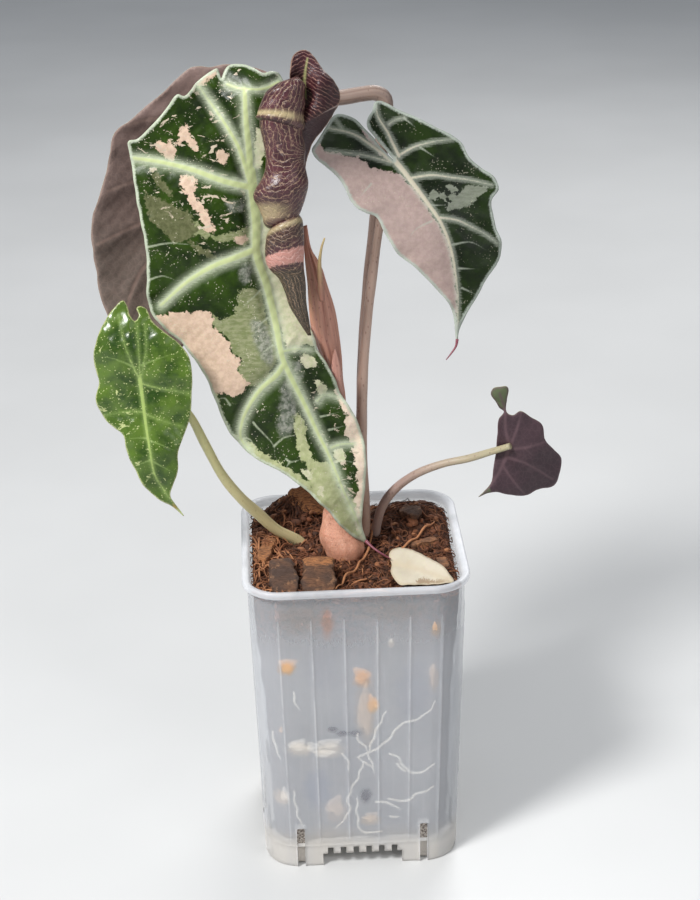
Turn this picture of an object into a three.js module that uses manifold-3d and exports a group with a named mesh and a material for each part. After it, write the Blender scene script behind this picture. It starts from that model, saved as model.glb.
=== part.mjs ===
// A young Alocasia in a tall, milky, square nursery pot. Millimetres, +Z up, front towards -Y.
// The pot and the potting mix are built from their real sizes. The leaves and their stalks follow
// points read off the reference photograph, each at its own depth behind or before the pot's middle.
import * as THREE from "three";
import Module from "manifold-3d";

const wasm = await Module();
wasm.setup();

// Driving dimensions
const POT = {
  rimWidth: 85, // across the outside of the rim
  height: 124,
  baseWidth: 75,
  rimHeight: 2.7,
  rimOverhang: 1.8,
  wall: 1.2,
  rimCorner: 14.3,
  baseCorner: 13,
  floorUnderside: 8.6,
  floorThickness: 1.5,
  footWidth: 2.4, // the wall is this thick below the floor
};
const NOTCH = { width: 31, height: 5.6, teeth: 6, toothPitch: 5, toothGap: 2.2, toothHeight: 5.6 };
const SLOT = { width: 3, height: 18, fromMiddle: 24 };
const FLOOR_SLIT = { count: 5, width: 2.4, length: 44, pitch: 9 };

const GAP = 0.3; // clearance between neighbouring pieces
const ROOT_SPACE = 2.2; // between the wall and the potting mix, where the roots run
const LEAF_THICKNESS = 1;

// The photograph's viewpoint
const VIEW = {
  frameWidth: 700, // pixels
  frameHeight: 900,
  focal: 2000, // pixels
  distance: 753.7,
  turn: -2.6, // degrees about Z
  lift: 24.3, // degrees above level
  roll: -1.2,
  aim: new THREE.Vector3(0, 0, 161.5),
};
const COLOUR = {
  pot: 0xcfd6dc,
  mix: 0x4a2a1c,
  stem: 0xc98a74,
  paleStalk: 0xb8b67e,
  pinkStalk: 0xa98078,
  brownStalk: 0x8a6a5c,
  leafGreen: 0x2f5a2c,
  leafFresh: 0x4f8a3a,
  leafUnder: 0x6d5660,
  newLeaf: 0x4a2028,
  cream: 0xebe1cd,
  bark: 0x7a4428,
  fibre: 0xa5623a,
  root: 0xe6e0d2,
};

const rad = THREE.MathUtils.degToRad;
const v3 = (x, y, z) => new THREE.Vector3(x, y, z);

const viewAxes = (() => {
  const turn = rad(VIEW.turn);
  const lift = rad(VIEW.lift);
  const back = v3(Math.sin(turn) * Math.cos(lift), -Math.cos(turn) * Math.cos(lift), Math.sin(lift));
  const forward = back.clone().negate();
  const right = forward.clone().cross(v3(0, 0, 1)).normalize();
  const up = right.clone().cross(forward);
  right.applyAxisAngle(forward, rad(VIEW.roll) * -1);
  up.applyAxisAngle(forward, rad(VIEW.roll) * -1);
  return { eye: VIEW.aim.clone().addScaledVector(back, VIEW.distance), forward, right, up };
})();

// The point that the photograph shows at (px, py), at the depth y behind the pot's middle.
function seen(px, py, y) {
  const { eye, forward, right, up } = viewAxes;
  const ray = forward
    .clone()
    .addScaledVector(right, (px - VIEW.frameWidth / 2) / VIEW.focal)
    .addScaledVector(up, (VIEW.frameHeight / 2 - py) / VIEW.focal);
  return eye.clone().addScaledVector(ray, (y - eye.y) / ray.y);
}

// Solids
// A closed solid from rings of points, first to last, each ring closed by a fan at the two ends.
function loft(rings) {
  const count = rings[0].length;
  const points = rings.flat();
  const faces = [];
  for (let r = 0; r + 1 < rings.length; r++)
    for (let i = 0; i < count; i++) {
      const j = (i + 1) % count;
      const a = r * count + i;
      const b = r * count + j;
      faces.push([a, b, b + count], [a, b + count, a + count]);
    }
  const fan = (start, flip) => {
    const middle = new THREE.Vector3();
    for (let i = 0; i < count; i++) middle.addScaledVector(points[start + i], 1 / count);
    points.push(middle);
    const m = points.length - 1;
    for (let i = 0; i < count; i++) {
      const pair = [start + i, start + ((i + 1) % count)];
      faces.push(flip ? [m, pair[1], pair[0]] : [m, pair[0], pair[1]]);
    }
  };
  fan(0, true);
  fan((rings.length - 1) * count, false);
  return solid(points, faces);
}

function solid(points, faces) {
  const made = new wasm.Manifold(
    new wasm.Mesh({
      numProp: 3,
      vertProperties: new Float32Array(points.flatMap((p) => [p.x, p.y, p.z])),
      triVerts: new Uint32Array(faces.flat()),
    }),
  );
  if (made.volume() >= 0) return made;
  return solid(points, faces.map(([a, b, c]) => [a, c, b]));
}

function fromGeometry(geometry) {
  const position = geometry.getAttribute("position");
  const points = [];
  const known = new Map();
  const same = (p) => [p.x, p.y, p.z].map((n) => n.toFixed(3)).join(" ");
  const index = [];
  for (let i = 0; i < position.count; i++) {
    const p = new THREE.Vector3().fromBufferAttribute(position, i);
    const key = same(p);
    if (!known.has(key)) {
      known.set(key, points.length);
      points.push(p);
    }
    index.push(known.get(key));
  }
  const order = geometry.index ? Array.from(geometry.index.array) : index.map((_, i) => i);
  const faces = [];
  for (let i = 0; i < order.length; i += 3) {
    const face = [index[order[i]], index[order[i + 1]], index[order[i + 2]]];
    if (new Set(face).size === 3) faces.push(face);
  }
  return solid(points, faces);
}

const box = (w, d, h, x, y, z) => fromGeometry(new THREE.BoxGeometry(w, d, h).translate(x, y, z));

// What is left of a solid after the others are taken out of it: its largest body.
function cut(base, others) {
  const rest = others.reduce((a, b) => a.subtract(b), base);
  return rest.decompose().sort((a, b) => b.volume() - a.volume())[0];
}

const group = new THREE.Group();

function addPiece(name, made, color, roughness = 0.6, opacity = 1) {
  const mesh = made.getMesh();
  const geometry = new THREE.BufferGeometry();
  const positions = new Float32Array(mesh.numVert * 3);
  for (let i = 0; i < mesh.numVert; i++)
    positions.set(mesh.vertProperties.subarray(i * mesh.numProp, i * mesh.numProp + 3), i * 3);
  geometry.setAttribute("position", new THREE.BufferAttribute(positions, 3));
  geometry.setIndex(new THREE.BufferAttribute(new Uint32Array(mesh.triVerts), 1));
  geometry.computeVertexNormals();
  const material = new THREE.MeshStandardMaterial({ color, roughness, metalness: 0 });
  material.opacity = opacity;
  material.transparent = opacity < 1;
  const piece = new THREE.Mesh(geometry, material);
  piece.name = name;
  group.add(piece);
}

// A round stalk along a smooth line, thick at each end as given.
function stalk(points, startRadius, endRadius, steps = 14, sides = 8) {
  const line = new THREE.CatmullRomCurve3(points, false, "centripetal");
  const frames = line.computeFrenetFrames(steps);
  const rings = [];
  for (let i = 0; i <= steps; i++) {
    const at = line.getPointAt(i / steps);
    const radius = THREE.MathUtils.lerp(startRadius, endRadius, i / steps);
    const ring = [];
    for (let k = 0; k < sides; k++) {
      const turn = (2 * Math.PI * k) / sides;
      ring.push(
        at
          .clone()
          .addScaledVector(frames.normals[i], Math.cos(turn) * radius)
          .addScaledVector(frames.binormals[i], Math.sin(turn) * radius),
      );
    }
    rings.push(ring);
  }
  return loft(rings);
}

// Pot
function roundedSquare(width, corner, z, arcSteps = 4) {
  const half = width / 2 - corner;
  const ring = [];
  for (const [sx, sy, start] of [[1, 1, 0], [-1, 1, 90], [-1, -1, 180], [1, -1, 270]])
    for (let i = 0; i <= arcSteps; i++) {
      const turn = rad(start + (90 * i) / arcSteps);
      ring.push(v3(sx * half + corner * Math.cos(turn), sy * half + corner * Math.sin(turn), z));
    }
  return ring;
}

// The width and corner of the wall's outside at the height z.
const wallTopWidth = POT.rimWidth - 2 * POT.rimOverhang;
const wallWidth = (z) => THREE.MathUtils.lerp(POT.baseWidth, wallTopWidth, z / POT.height);
const wallTopCorner = POT.rimCorner - POT.rimOverhang;
const wallCorner = (z) => THREE.MathUtils.lerp(POT.baseCorner, wallTopCorner, z / POT.height);
const insideRing = (z, inset) => roundedSquare(wallWidth(z) - 2 * inset, wallCorner(z) - inset, z);

function makePot() {
  const underRim = POT.height - POT.rimHeight;
  const outside = loft([
    roundedSquare(wallWidth(0) - 1, wallCorner(0) - 0.5, 0),
    roundedSquare(wallWidth(1), wallCorner(1), 0.6),
    roundedSquare(wallWidth(underRim), wallCorner(underRim), underRim),
    roundedSquare(POT.rimWidth, POT.rimCorner, underRim + 0.3),
    roundedSquare(POT.rimWidth, POT.rimCorner, POT.height - 0.6),
    roundedSquare(POT.rimWidth - 1, POT.rimCorner - 0.5, POT.height),
  ]);
  const floorTop = POT.floorUnderside + POT.floorThickness;
  const inside = loft([insideRing(floorTop, POT.wall), insideRing(POT.height + 1, POT.wall)]);
  const under = loft([insideRing(-1, POT.footWidth), insideRing(POT.floorUnderside, POT.footWidth)]);
  const cuts = [inside, under];
  const reach = POT.baseWidth / 2;
  for (let side = 0; side < 4; side++) {
    const add = (w, h, x, z) => {
      const tool = box(w, 8, h, x, -reach, z);
      cuts.push(tool.rotate([0, 0, 90 * side]));
    };
    add(NOTCH.width, 2 * NOTCH.height, 0, 0);
    for (const s of [-1, 1]) add(SLOT.width, 2 * SLOT.height, s * SLOT.fromMiddle, 0);
    for (let i = 0; i < NOTCH.teeth; i++) {
      const x = (i - (NOTCH.teeth - 1) / 2) * NOTCH.toothPitch;
      add(NOTCH.toothGap, NOTCH.toothHeight, x, NOTCH.height);
    }
  }
  for (let i = 0; i < FLOOR_SLIT.count; i++) {
    const x = (i - (FLOOR_SLIT.count - 1) / 2) * FLOOR_SLIT.pitch;
    cuts.push(box(FLOOR_SLIT.width, FLOOR_SLIT.length, 6, x, 0, POT.floorUnderside));
  }
  return cut(outside, cuts);
}

// Potting mix
// Height of its heaped top: a little under the rim at the walls, heaped behind the stem.
function mixHeight(x, y) {
  const bump = (cx, cy, size, height) => height * Math.exp(-((x - cx) ** 2 + (y - cy) ** 2) / size ** 2);
  return (
    POT.height - 7 +
    bump(-20, 27, 13, 13) +
    bump(24, 20, 16, 9) +
    bump(-36, 6, 12, 5) +
    bump(-22, -18, 14, 3.5) +
    bump(0, 8, 16, 2.5) +
    0.6 * Math.sin(x * 0.55 + 1) * Math.cos(y * 0.48)
  );
}

function makeMix() {
  const rings = [];
  const inset = POT.wall + ROOT_SPACE;
  const floor = POT.floorUnderside + POT.floorThickness + GAP;
  for (const z of [floor, 60, POT.height - 12]) rings.push(insideRing(z, inset));
  const rim = insideRing(POT.height - 10, inset);
  for (const share of [1, 0.86, 0.7, 0.54, 0.38, 0.22, 0.08])
    rings.push(rim.map((p) => v3(p.x * share, p.y * share, mixHeight(p.x * share, p.y * share))));
  return loft(rings);
}

// Stem and stalks
// Points down the middle of each, read off the photograph: [px, py, depth].
const CROWN = [[344, 566, -4], [343, 548, -2], [340, 528, 1], [338, 512, 3]];
const STALKS = {
  petiole_front: {
    from: [[340, 535, 6], [334, 495, 12], [314, 430, 15], [292, 340, 15], [268, 250, 14], [255, 187, 9]],
    radii: [2.6, 1.6],
  },
  petiole_new_leaf: {
    from: [
      [341, 525, 2], [340, 494, 4.5], [338, 440, 7], [334, 380, 5.5], [328, 320, 0.5], [316, 255, -5],
      [309, 228, -8],
    ],
    radii: [3.8, 3],
  },
  petiole_right: {
    from: [
      [361, 550, 7], [365, 520, 8], [362, 470, 9], [362, 400, 10], [366, 322, 11], [377, 222, 13],
      [392, 166, 12],
    ],
    radii: [2.3, 1.6],
  },
  petiole_back: {
    from: [
      [354, 548, 12], [358, 500, 14], [361, 440, 17], [364, 330, 21], [375, 220, 24], [391, 125, 26],
      [383, 96, 26],
      [330, 96, 23], [262, 116, 24], [234, 134, 28],
    ],
    radii: [3, 2.1],
  },
  petiole_lower_left: {
    from: [
      [310, 552, 8], [298, 541, 8], [258, 513, 2], [222, 475, -6], [191, 418, -13], [168, 394, -14],
      [143, 385, -12],
    ],
    radii: [2.1, 1.4],
  },
  petiole_lower_right: {
    from: [
      [369, 552, 9], [373, 540, 9], [377, 525, 8], [388, 496, 4], [413, 474, -2], [462, 458, -8],
      [488, 452, -13],
      [509, 446, -18.5],
    ],
    radii: [1.7, 1.2],
  },
};
const SHEATH = [[343, 452, 1.7], [341, 420, 1.4], [338, 385, 0.9], [335, 352, -1.3]];
const SPIKE = [[322, 300, -9.5], [320, 268, -11], [324, 240, -12.5]];

const along = (points) => points.map(([px, py, y]) => seen(px, py, y));

// Leaves
// Each has its outline on the photograph, clockwise from the notch between its lobes, the place
// where its stalk joins, and the depth of the blade at a few places: [px, py, depth].
const LEAVES = {
  leaf_front: {
    color: COLOUR.leafGreen,
    join: [252, 180],
    outline: [
      [221, 84], [226, 70], [246, 65], [263, 72], [280, 73], [290, 100], [298, 140], [299, 190],
      [298, 235], [302, 280], [310, 328], [330, 370], [349, 406], [363, 434], [366, 480], [364, 520],
      [367, 544], [352, 537], [330, 514], [300, 485], [259, 460], [241, 448], [226, 426], [209, 384],
      [180, 342], [151, 314], [147, 275], [139, 213], [129, 140], [147, 130], [174, 98], [188, 91],
      [216, 68],
    ],
    depths: [
      [252, 180, 3], [246, 70, 16], [190, 92, 12], [134, 180, 6], [150, 300, 2], [290, 110, 12],
      [298, 200, 11],
      [258, 250, -2], [280, 350, -9], [300, 300, 4], [345, 480, -10], [366, 542, -5], [240, 445, -3],
      [200, 230, -2], [362, 440, -3],
      [230, 330, -6],
    ],
  },
  leaf_back: {
    color: COLOUR.leafUnder,
    join: [228, 138],
    outline: [
      [262, 92], [278, 76], [240, 66], [211, 67], [192, 67], [166, 89], [130, 118], [112, 137],
      [107, 167], [97, 201],
      [91, 239], [97, 275], [106, 313], [124, 345], [150, 372], [180, 350], [215, 300], [245, 240],
      [262, 180], [285, 120], [280, 100],
    ],
    depths: [
      [228, 138, 32], [192, 68, 28], [110, 150, 24], [92, 240, 22], [150, 370, 20], [180, 240, 34],
      [262, 180, 30], [278, 80, 30],
      [130, 230, 29],
    ],
  },
  leaf_right: {
    color: COLOUR.leafGreen,
    join: [395, 159],
    outline: [
      [392, 157], [368, 126], [374, 108], [380, 101], [396, 109], [434, 126], [462, 143], [482, 168],
      [498, 183], [492, 203], [497, 227],
      [501, 250], [489, 275], [468, 311], [458, 340], [455, 315], [434, 287], [396, 252], [377, 217],
      [357, 208],
      [340, 180], [313, 151], [321, 135], [334, 116], [352, 118], [364, 126],
    ],
    depths: [
      [395, 159, 8], [380, 103, 16], [434, 127, 14], [492, 186, 9], [499, 250, 4], [457, 338, -6],
      [441, 220, 0],
      [396, 250, -7], [360, 205, -6], [316, 150, -4], [338, 118, 2], [352, 160, 1], [460, 200, 6],
      [462, 290, -3],
    ],
  },
  leaf_lower_left: {
    color: COLOUR.leafFresh,
    join: [140, 382],
    outline: [
      [135, 322], [128, 307], [123, 300], [107, 316], [95, 350], [95, 366], [99, 382], [96, 398],
      [103, 418], [121, 434], [127, 455],
      [146, 489], [171, 507], [184, 517], [171, 496], [178, 469], [179, 449], [187, 428], [192, 394],
      [189, 357],
      [178, 342], [151, 319], [146, 308], [139, 307], [139, 316],
    ],
    depths: [
      [140, 382, -15], [123, 302, -6], [142, 308, -6], [95, 358, -11], [98, 400, -12], [191, 385, -16],
      [150, 450, -22],
      [184, 516, -20], [125, 445, -18], [187, 430, -17], [118, 350, -15], [170, 350, -14],
    ],
  },
  leaf_lower_right: {
    color: COLOUR.leafUnder,
    join: [511, 445],
    outline: [
      [507, 412], [500, 404], [492, 392], [506, 386], [508, 396], [513, 414], [521, 410], [542, 425],
      [545, 440], [562, 460], [556, 481],
      [541, 489], [526, 495], [509, 494], [478, 496], [491, 483], [496, 453], [498, 430],
    ],
    depths: [
      [511, 445, -16], [500, 390, -20], [542, 426, -18], [561, 461, -12], [526, 494, -10],
      [480, 495, -13], [496, 450, -12],
      [530, 455, -17],
    ],
  },
  leaf_small_cream: {
    color: COLOUR.cream,
    join: [398, 566],
    outline: [
      [390, 560], [390, 552], [398, 548], [410, 549], [423, 555], [435, 561], [445, 567], [450, 574],
      [454, 580], [446, 583], [427, 584],
      [400, 584], [392, 576],
    ],
    depths: [
      [390, 560, -12], [410, 549, -4], [445, 567, -20], [454, 580, -30], [427, 584, -32],
      [400, 584, -32], [420, 567, -20],
    ],
  },
};

// A smooth depth over the photograph that passes through the given ones: a thin plate bent to fit.
function thinPlate(points) {
  const bend = (r2) => (r2 > 0 ? 0.5 * r2 * Math.log(r2) : 0);
  const scale = 100;
  const at = points.map(([x, y]) => [x / scale, y / scale]);
  const n = points.length;
  const rows = [];
  for (let i = 0; i < n; i++) {
    const row = at.map(([x, y]) => bend((x - at[i][0]) ** 2 + (y - at[i][1]) ** 2));
    rows.push([...row, 1, at[i][0], at[i][1], points[i][2]]);
  }
  rows.push([...at.map(() => 1), 0, 0, 0, 0]);
  rows.push([...at.map((p) => p[0]), 0, 0, 0, 0]);
  rows.push([...at.map((p) => p[1]), 0, 0, 0, 0]);
  const weight = solve(rows);
  return (px, py) => {
    const x = px / scale;
    const y = py / scale;
    let depth = weight[n] + weight[n + 1] * x + weight[n + 2] * y;
    at.forEach(([ax, ay], i) => (depth += weight[i] * bend((x - ax) ** 2 + (y - ay) ** 2)));
    return depth;
  };
}

// Gauss-Jordan elimination; each row ends with its right-hand side.
function solve(rows) {
  const n = rows.length;
  for (let c = 0; c < n; c++) {
    let best = c;
    for (let r = c + 1; r < n; r++) if (Math.abs(rows[r][c]) > Math.abs(rows[best][c])) best = r;
    [rows[c], rows[best]] = [rows[best], rows[c]];
    for (let r = 0; r < n; r++) {
      if (r === c) continue;
      const share = rows[r][c] / rows[c][c];
      for (let k = c; k <= n; k++) rows[r][k] -= share * rows[c][k];
    }
  }
  return rows.map((row, i) => row[n] / row[i]);
}

// A blade as a thin solid: rings from the join out to the edge, once for each face.
function makeLeaf({ outline, join, depths }, thickness, ringCount = 5) {
  const depth = thinPlate(depths);
  const edge = outline.map(([x, y]) => new THREE.Vector2(x, y));
  const count = edge.length;
  const middle = new THREE.Vector2(...join);
  const point = (p) => seen(p.x, p.y, depth(p.x, p.y));
  const normal = (p) => {
    const across = point(p.clone().add(new THREE.Vector2(1, 0))).sub(point(p));
    const down = point(p.clone().add(new THREE.Vector2(0, 1))).sub(point(p));
    return down.cross(across).normalize();
  };
  const places = [middle];
  for (let r = 1; r <= ringCount; r++)
    for (const e of edge) places.push(middle.clone().lerp(e, r / ringCount));
  const face = (side) => places.map((p) => point(p).addScaledVector(normal(p), (side * thickness) / 2));
  const points = [...face(1), ...face(-1)];
  const half = places.length;
  const faces = [];
  const addFace = (a, b, c) => faces.push([a, b, c], [a + half, c + half, b + half]);
  for (let i = 0; i < count; i++) {
    const j = (i + 1) % count;
    addFace(0, 1 + i, 1 + j);
    for (let r = 0; r + 1 < ringCount; r++) {
      const a = 1 + r * count + i;
      const b = 1 + r * count + j;
      addFace(a, a + count, b + count);
      addFace(a, b + count, b);
    }
    const a = 1 + (ringCount - 1) * count + i;
    const b = 1 + (ringCount - 1) * count + j;
    faces.push([b, a, a + half], [b, a + half, b + half]);
  }
  return solid(points, faces);
}

// The unopened leaf: a scroll along its middle line, wide and narrow by turns, under a hood.
const SCROLL = {
  line: [
    [309, 335, -9.5], [300, 300, -11], [287, 262, -12], [280, 225, -13], [283, 180, -13],
    [286, 120, -12], [297, 84, -10], [306, 54, -8],
  ],
  radii: [1.4, 4.2, 7.4, 7.2, 8.6, 8.2, 7.4, 3],
};
const HOOD = {
  line: [[310, 56, -5], [322, 84, -4], [326, 104, -3], [314, 132, -5]],
  radii: [2.4, 5.2, 5.2, 1.6],
};

function scroll({ line, radii }, steps, sides = 12) {
  const curve = new THREE.CatmullRomCurve3(along(line), false, "centripetal");
  const frames = curve.computeFrenetFrames(steps);
  const rings = [];
  for (let i = 0; i <= steps; i++) {
    const t = i / steps;
    const at = curve.getPoint(t);
    const place = t * (radii.length - 1);
    const k = Math.min(Math.floor(place), radii.length - 2);
    const radius = THREE.MathUtils.lerp(radii[k], radii[k + 1], place - k);
    const ring = [];
    for (let s = 0; s < sides; s++) {
      const turn = (2 * Math.PI * s) / sides;
      ring.push(
        at
          .clone()
          .addScaledVector(frames.normals[i], Math.cos(turn) * radius)
          .addScaledVector(frames.binormals[i], Math.sin(turn) * radius),
      );
    }
    rings.push(ring);
  }
  return loft(rings);
}

// Bark, fibres and roots
// Chips on the mix: place, size and turn.
const CHIPS = [
  { x: -14, y: 26, size: [21, 12, 4], turn: 8, lean: 52 },
  { x: -27, y: -25, size: [10, 20, 6], turn: 6, lean: 25 },
  { x: -13.8, y: -25, size: [12, 20, 6.5], turn: -2, lean: 25 },
  { x: -33, y: -2, size: [5, 17, 3], turn: -12, lean: 4 },
  { x: 28, y: 2, size: [12, 3, 2.6], turn: 20, lean: 4 },
  { x: 24, y: 16, size: [9, 6, 3], turn: -35, lean: 10 },
  { x: 8, y: 28, size: [8, 6, 3], turn: 40, lean: -6 },
  { x: 34, y: -12, size: [4, 8, 2.4], turn: 10, lean: 0 },
];
const FIBRES = [
  [[8, 9], [7.5, 3], [6, -3], [1, -15], [-4.5, -24]],
  [[-36, 4], [-35, -6], [-34, -14]],
  [[16, -6], [26, 4], [33, 12]],
  [[-14, 31], [2, 26], [14, 32]],
  [[-4, -36], [3, -33], [12, -35]],
];
// Roots against the front wall: [across, height] along each.
const ROOTS = [
  [[-1, 49.2], [8.2, 53.9], [15.4, 63], [20.7, 64.6], [29.5, 72.9]],
  [[3.6, 53.9], [5.5, 59.1], [10.2, 69.4]],
  [[3.4, 48.6], [4.2, 45.6], [5.5, 41.7]],
  [[0.6, 46.8], [-1, 40.1], [-5.3, 29.1], [-4.6, 24.3], [-10.2, 15.8]],
  [[11.1, 50], [14.8, 47.6], [16.7, 43.3], [22.6, 40.5], [28.9, 44.4]],
  [[10.2, 29.1], [18.1, 27.9], [21.3, 30.6], [28.9, 33.8]],
  [[-26.3, 34.6], [-25.7, 29.1], [-22.7, 15.8]],
  [[-35.6, 60.9], [-31.7, 48.8]],
];
const ROOT_RADIUS = 0.55;
const FIBRE_RADIUS = 0.6;
const THIN_DRIP = [[365, 541, -8.5], [377, 548, -11], [391, 558, -12]];

function chipSolid({ x, y, size, turn, lean }, grow = 0) {
  const [w, d, h] = size;
  const geometry = new THREE.BoxGeometry(w + 2 * grow, d + 2 * grow, h + 2 * grow, 2, 2, 1);
  const position = geometry.getAttribute("position");
  for (let i = 0; i < position.count; i++) {
    const p = v3(position.getX(i), position.getY(i), position.getZ(i));
    const place = 1.7 * p.x * (w / (w + 2 * grow)) + 0.9 * p.y * (d / (d + 2 * grow)) + x;
    const pinch = 1 - 0.18 * Math.abs(Math.sin(place));
    position.setXYZ(i, p.x * pinch, p.y * pinch, p.z * (0.8 + 0.2 * pinch));
  }
  geometry.rotateX(rad(lean)).rotateZ(rad(turn));
  geometry.translate(x, y, mixHeight(x, y) + h * 0.25);
  return fromGeometry(geometry);
}

const fibreLine = (points) => points.map(([x, y]) => v3(x, y, mixHeight(x, y) + 1.9));

// The line that a root takes in the space behind the front wall, round the corners too.
function rootLine(points) {
  return points.map(([x, z]) => {
    const corner = wallCorner(z) - POT.wall - ROOT_SPACE / 2;
    const straight = wallWidth(z) / 2 - wallCorner(z);
    const past = Math.max(0, Math.abs(x) - straight);
    return v3(x, -straight - Math.sqrt(corner ** 2 - past ** 2), z);
  });
}

// Assembly
// Pieces are made from the inside out, and each gives way to those already there. make(grow) returns
// the piece's solid, with that much more on every side.
const taken = [];

function put(name, make, color, roughness) {
  const made = make(0);
  const near = taken.filter((other) => overlaps(other, made));
  addPiece(name, cut(made, near), color, roughness);
  taken.push(make(GAP));
}

function overlaps(a, b) {
  const p = a.boundingBox();
  const q = b.boundingBox();
  return [0, 1, 2].every((i) => p.min[i] < q.max[i] && q.min[i] < p.max[i]);
}

const stalkAlong = (points, r0, r1, steps, sides) => (grow) =>
  stalk(points, r0 + grow, r1 + grow, steps, sides);
const leafBlade = (shape) => (grow) => makeLeaf(shape, LEAF_THICKNESS + 2 * grow);
const rolled = ({ line, radii }, steps, sides) => (grow) =>
  scroll({ line, radii: radii.map((r) => r + grow) }, steps, sides);

addPiece("pot", makePot(), COLOUR.pot, 0.35, 0.55);
put("stem_base", stalkAlong(along(CROWN), 8.4, 5, 6, 12), COLOUR.stem, 0.5);
for (const [name, { color, ...shape }] of Object.entries(LEAVES)) put(name, leafBlade(shape), color, 0.35);
put("leaf_new_rolled", rolled(SCROLL, 18), COLOUR.newLeaf, 0.4);
put("leaf_new_hood", rolled(HOOD, 8, 10), COLOUR.newLeaf, 0.4);

const stalkOrder = [
  ["petiole_new_leaf", COLOUR.pinkStalk],
  ["petiole_right", COLOUR.pinkStalk],
  ["petiole_front", COLOUR.pinkStalk],
  ["petiole_lower_left", COLOUR.paleStalk],
  ["petiole_lower_right", COLOUR.paleStalk],
  ["petiole_back", COLOUR.brownStalk],
];
for (const [name, color] of stalkOrder) {
  const { from, radii } = STALKS[name];
  put(name, stalkAlong(along(from), radii[0], radii[1], 2 * from.length + 2), color, 0.5);
}
put("sheath_second", stalkAlong(along(SHEATH), 1.9, 0.8, 8, 8), COLOUR.pinkStalk, 0.5);
put("sheath_spike", stalkAlong(along(SPIKE), 0.9, 0.5, 6, 6), COLOUR.pinkStalk, 0.5);
put("drip_tip_front", stalkAlong(along(THIN_DRIP), 0.5, 0.4, 6, 6), COLOUR.newLeaf, 0.4);

CHIPS.forEach((chip, i) => put(`bark_chip_${i + 1}`, (grow) => chipSolid(chip, grow), COLOUR.bark, 0.9));
FIBRES.forEach((points, i) => {
  put(`fibre_${i + 1}`, stalkAlong(fibreLine(points), FIBRE_RADIUS, FIBRE_RADIUS, 10, 5), COLOUR.fibre, 0.9);
});
ROOTS.forEach((points, i) => {
  put(`root_${i + 1}`, stalkAlong(rootLine(points), ROOT_RADIUS, ROOT_RADIUS, 8, 5), COLOUR.root, 0.7);
});
put("potting_mix", makeMix, COLOUR.mix, 0.95);

// The frame's origin is the middle of the whole part's footprint.
const bounds = new THREE.Box3().setFromObject(group);
const centre = bounds.getCenter(new THREE.Vector3());
group.position.set(-centre.x, -centre.y, -bounds.min.z);

export default group;
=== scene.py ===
"""A young variegated Alocasia in a tall, milky, square nursery pot, on a plain pale floor.

Lengths are in millimetres until a mesh is made, and depths run from the pot's middle towards the back.
Outlines and veins are places on the reference photograph, in pixels of its 700 x 900 frame.
"""
import math

import bpy
import numpy as np
from mathutils import Matrix, Vector
from mathutils.geometry import delaunay_2d_cdt


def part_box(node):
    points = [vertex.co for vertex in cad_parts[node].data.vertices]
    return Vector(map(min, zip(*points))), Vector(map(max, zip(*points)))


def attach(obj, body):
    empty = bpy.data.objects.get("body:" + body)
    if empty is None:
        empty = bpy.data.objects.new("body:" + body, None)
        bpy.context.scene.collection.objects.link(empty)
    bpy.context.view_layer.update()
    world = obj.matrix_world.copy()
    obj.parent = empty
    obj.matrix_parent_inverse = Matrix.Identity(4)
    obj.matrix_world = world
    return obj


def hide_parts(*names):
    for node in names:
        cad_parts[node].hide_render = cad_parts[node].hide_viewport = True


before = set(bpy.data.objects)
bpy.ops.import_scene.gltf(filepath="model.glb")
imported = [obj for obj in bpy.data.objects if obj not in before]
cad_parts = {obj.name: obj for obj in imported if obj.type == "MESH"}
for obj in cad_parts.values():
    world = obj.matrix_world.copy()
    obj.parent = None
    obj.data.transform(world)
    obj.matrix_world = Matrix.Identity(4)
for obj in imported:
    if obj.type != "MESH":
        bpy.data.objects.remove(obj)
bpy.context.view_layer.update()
POT_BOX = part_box("pot")
MM = 0.001
MIDDLE = np.array([(POT_BOX[0][0] + POT_BOX[1][0]) / 2, (POT_BOX[0][1] + POT_BOX[1][1]) / 2, 0.0])

# The photograph's frame and viewpoint, in pixels, millimetres and degrees.
FRAME_WIDTH = 700
FRAME_HEIGHT = 900
FOCAL = 2000.0
DISTANCE = 753.7
TURN = math.radians(-2.6)
LIFT = math.radians(24.3)
ROLL = math.radians(-1.2)
AIM = np.array([0.0, 0.0, 161.5])
PIXEL = DISTANCE / FOCAL  # millimetres a pixel covers at the pot's middle

# The pot's real sizes.
RIM_WIDTH = 85.0
POT_HEIGHT = 124.0
BASE_WIDTH = 75.0
RIM_HEIGHT = 2.7
RIM_OVERHANG = 1.8
RIM_CORNER = 14.3
BASE_CORNER = 13.0
WALL = 1.2
FLOOR_UNDERSIDE = 8.6
FLOOR_THICKNESS = 1.5
ROOT_SPACE = 2.2


# Viewpoint
def view_axes():
    back = np.array([
        math.sin(TURN) * math.cos(LIFT),
        -math.cos(TURN) * math.cos(LIFT),
        math.sin(LIFT),
    ])
    right = np.cross(-back, [0, 0, 1])
    right /= np.linalg.norm(right)
    up = np.cross(right, -back)
    rolled_right = math.cos(ROLL) * right + math.sin(ROLL) * up
    rolled_up = -math.sin(ROLL) * right + math.cos(ROLL) * up
    return back, rolled_right, rolled_up


BACK, RIGHT, UP = view_axes()
EYE = AIM + BACK * DISTANCE


def seen(px, py, depth):
    """The points that the photograph shows at (px, py), at these depths behind the pot's middle."""
    px, py, depth = np.broadcast_arrays(np.asarray(px, float), py, depth)
    ray = (
        -BACK
        + RIGHT * ((px - FRAME_WIDTH / 2) / FOCAL)[..., None]
        + UP * ((FRAME_HEIGHT / 2 - py) / FOCAL)[..., None]
    )
    return EYE + ray * ((depth - EYE[1]) / ray[..., 1])[..., None]


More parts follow.
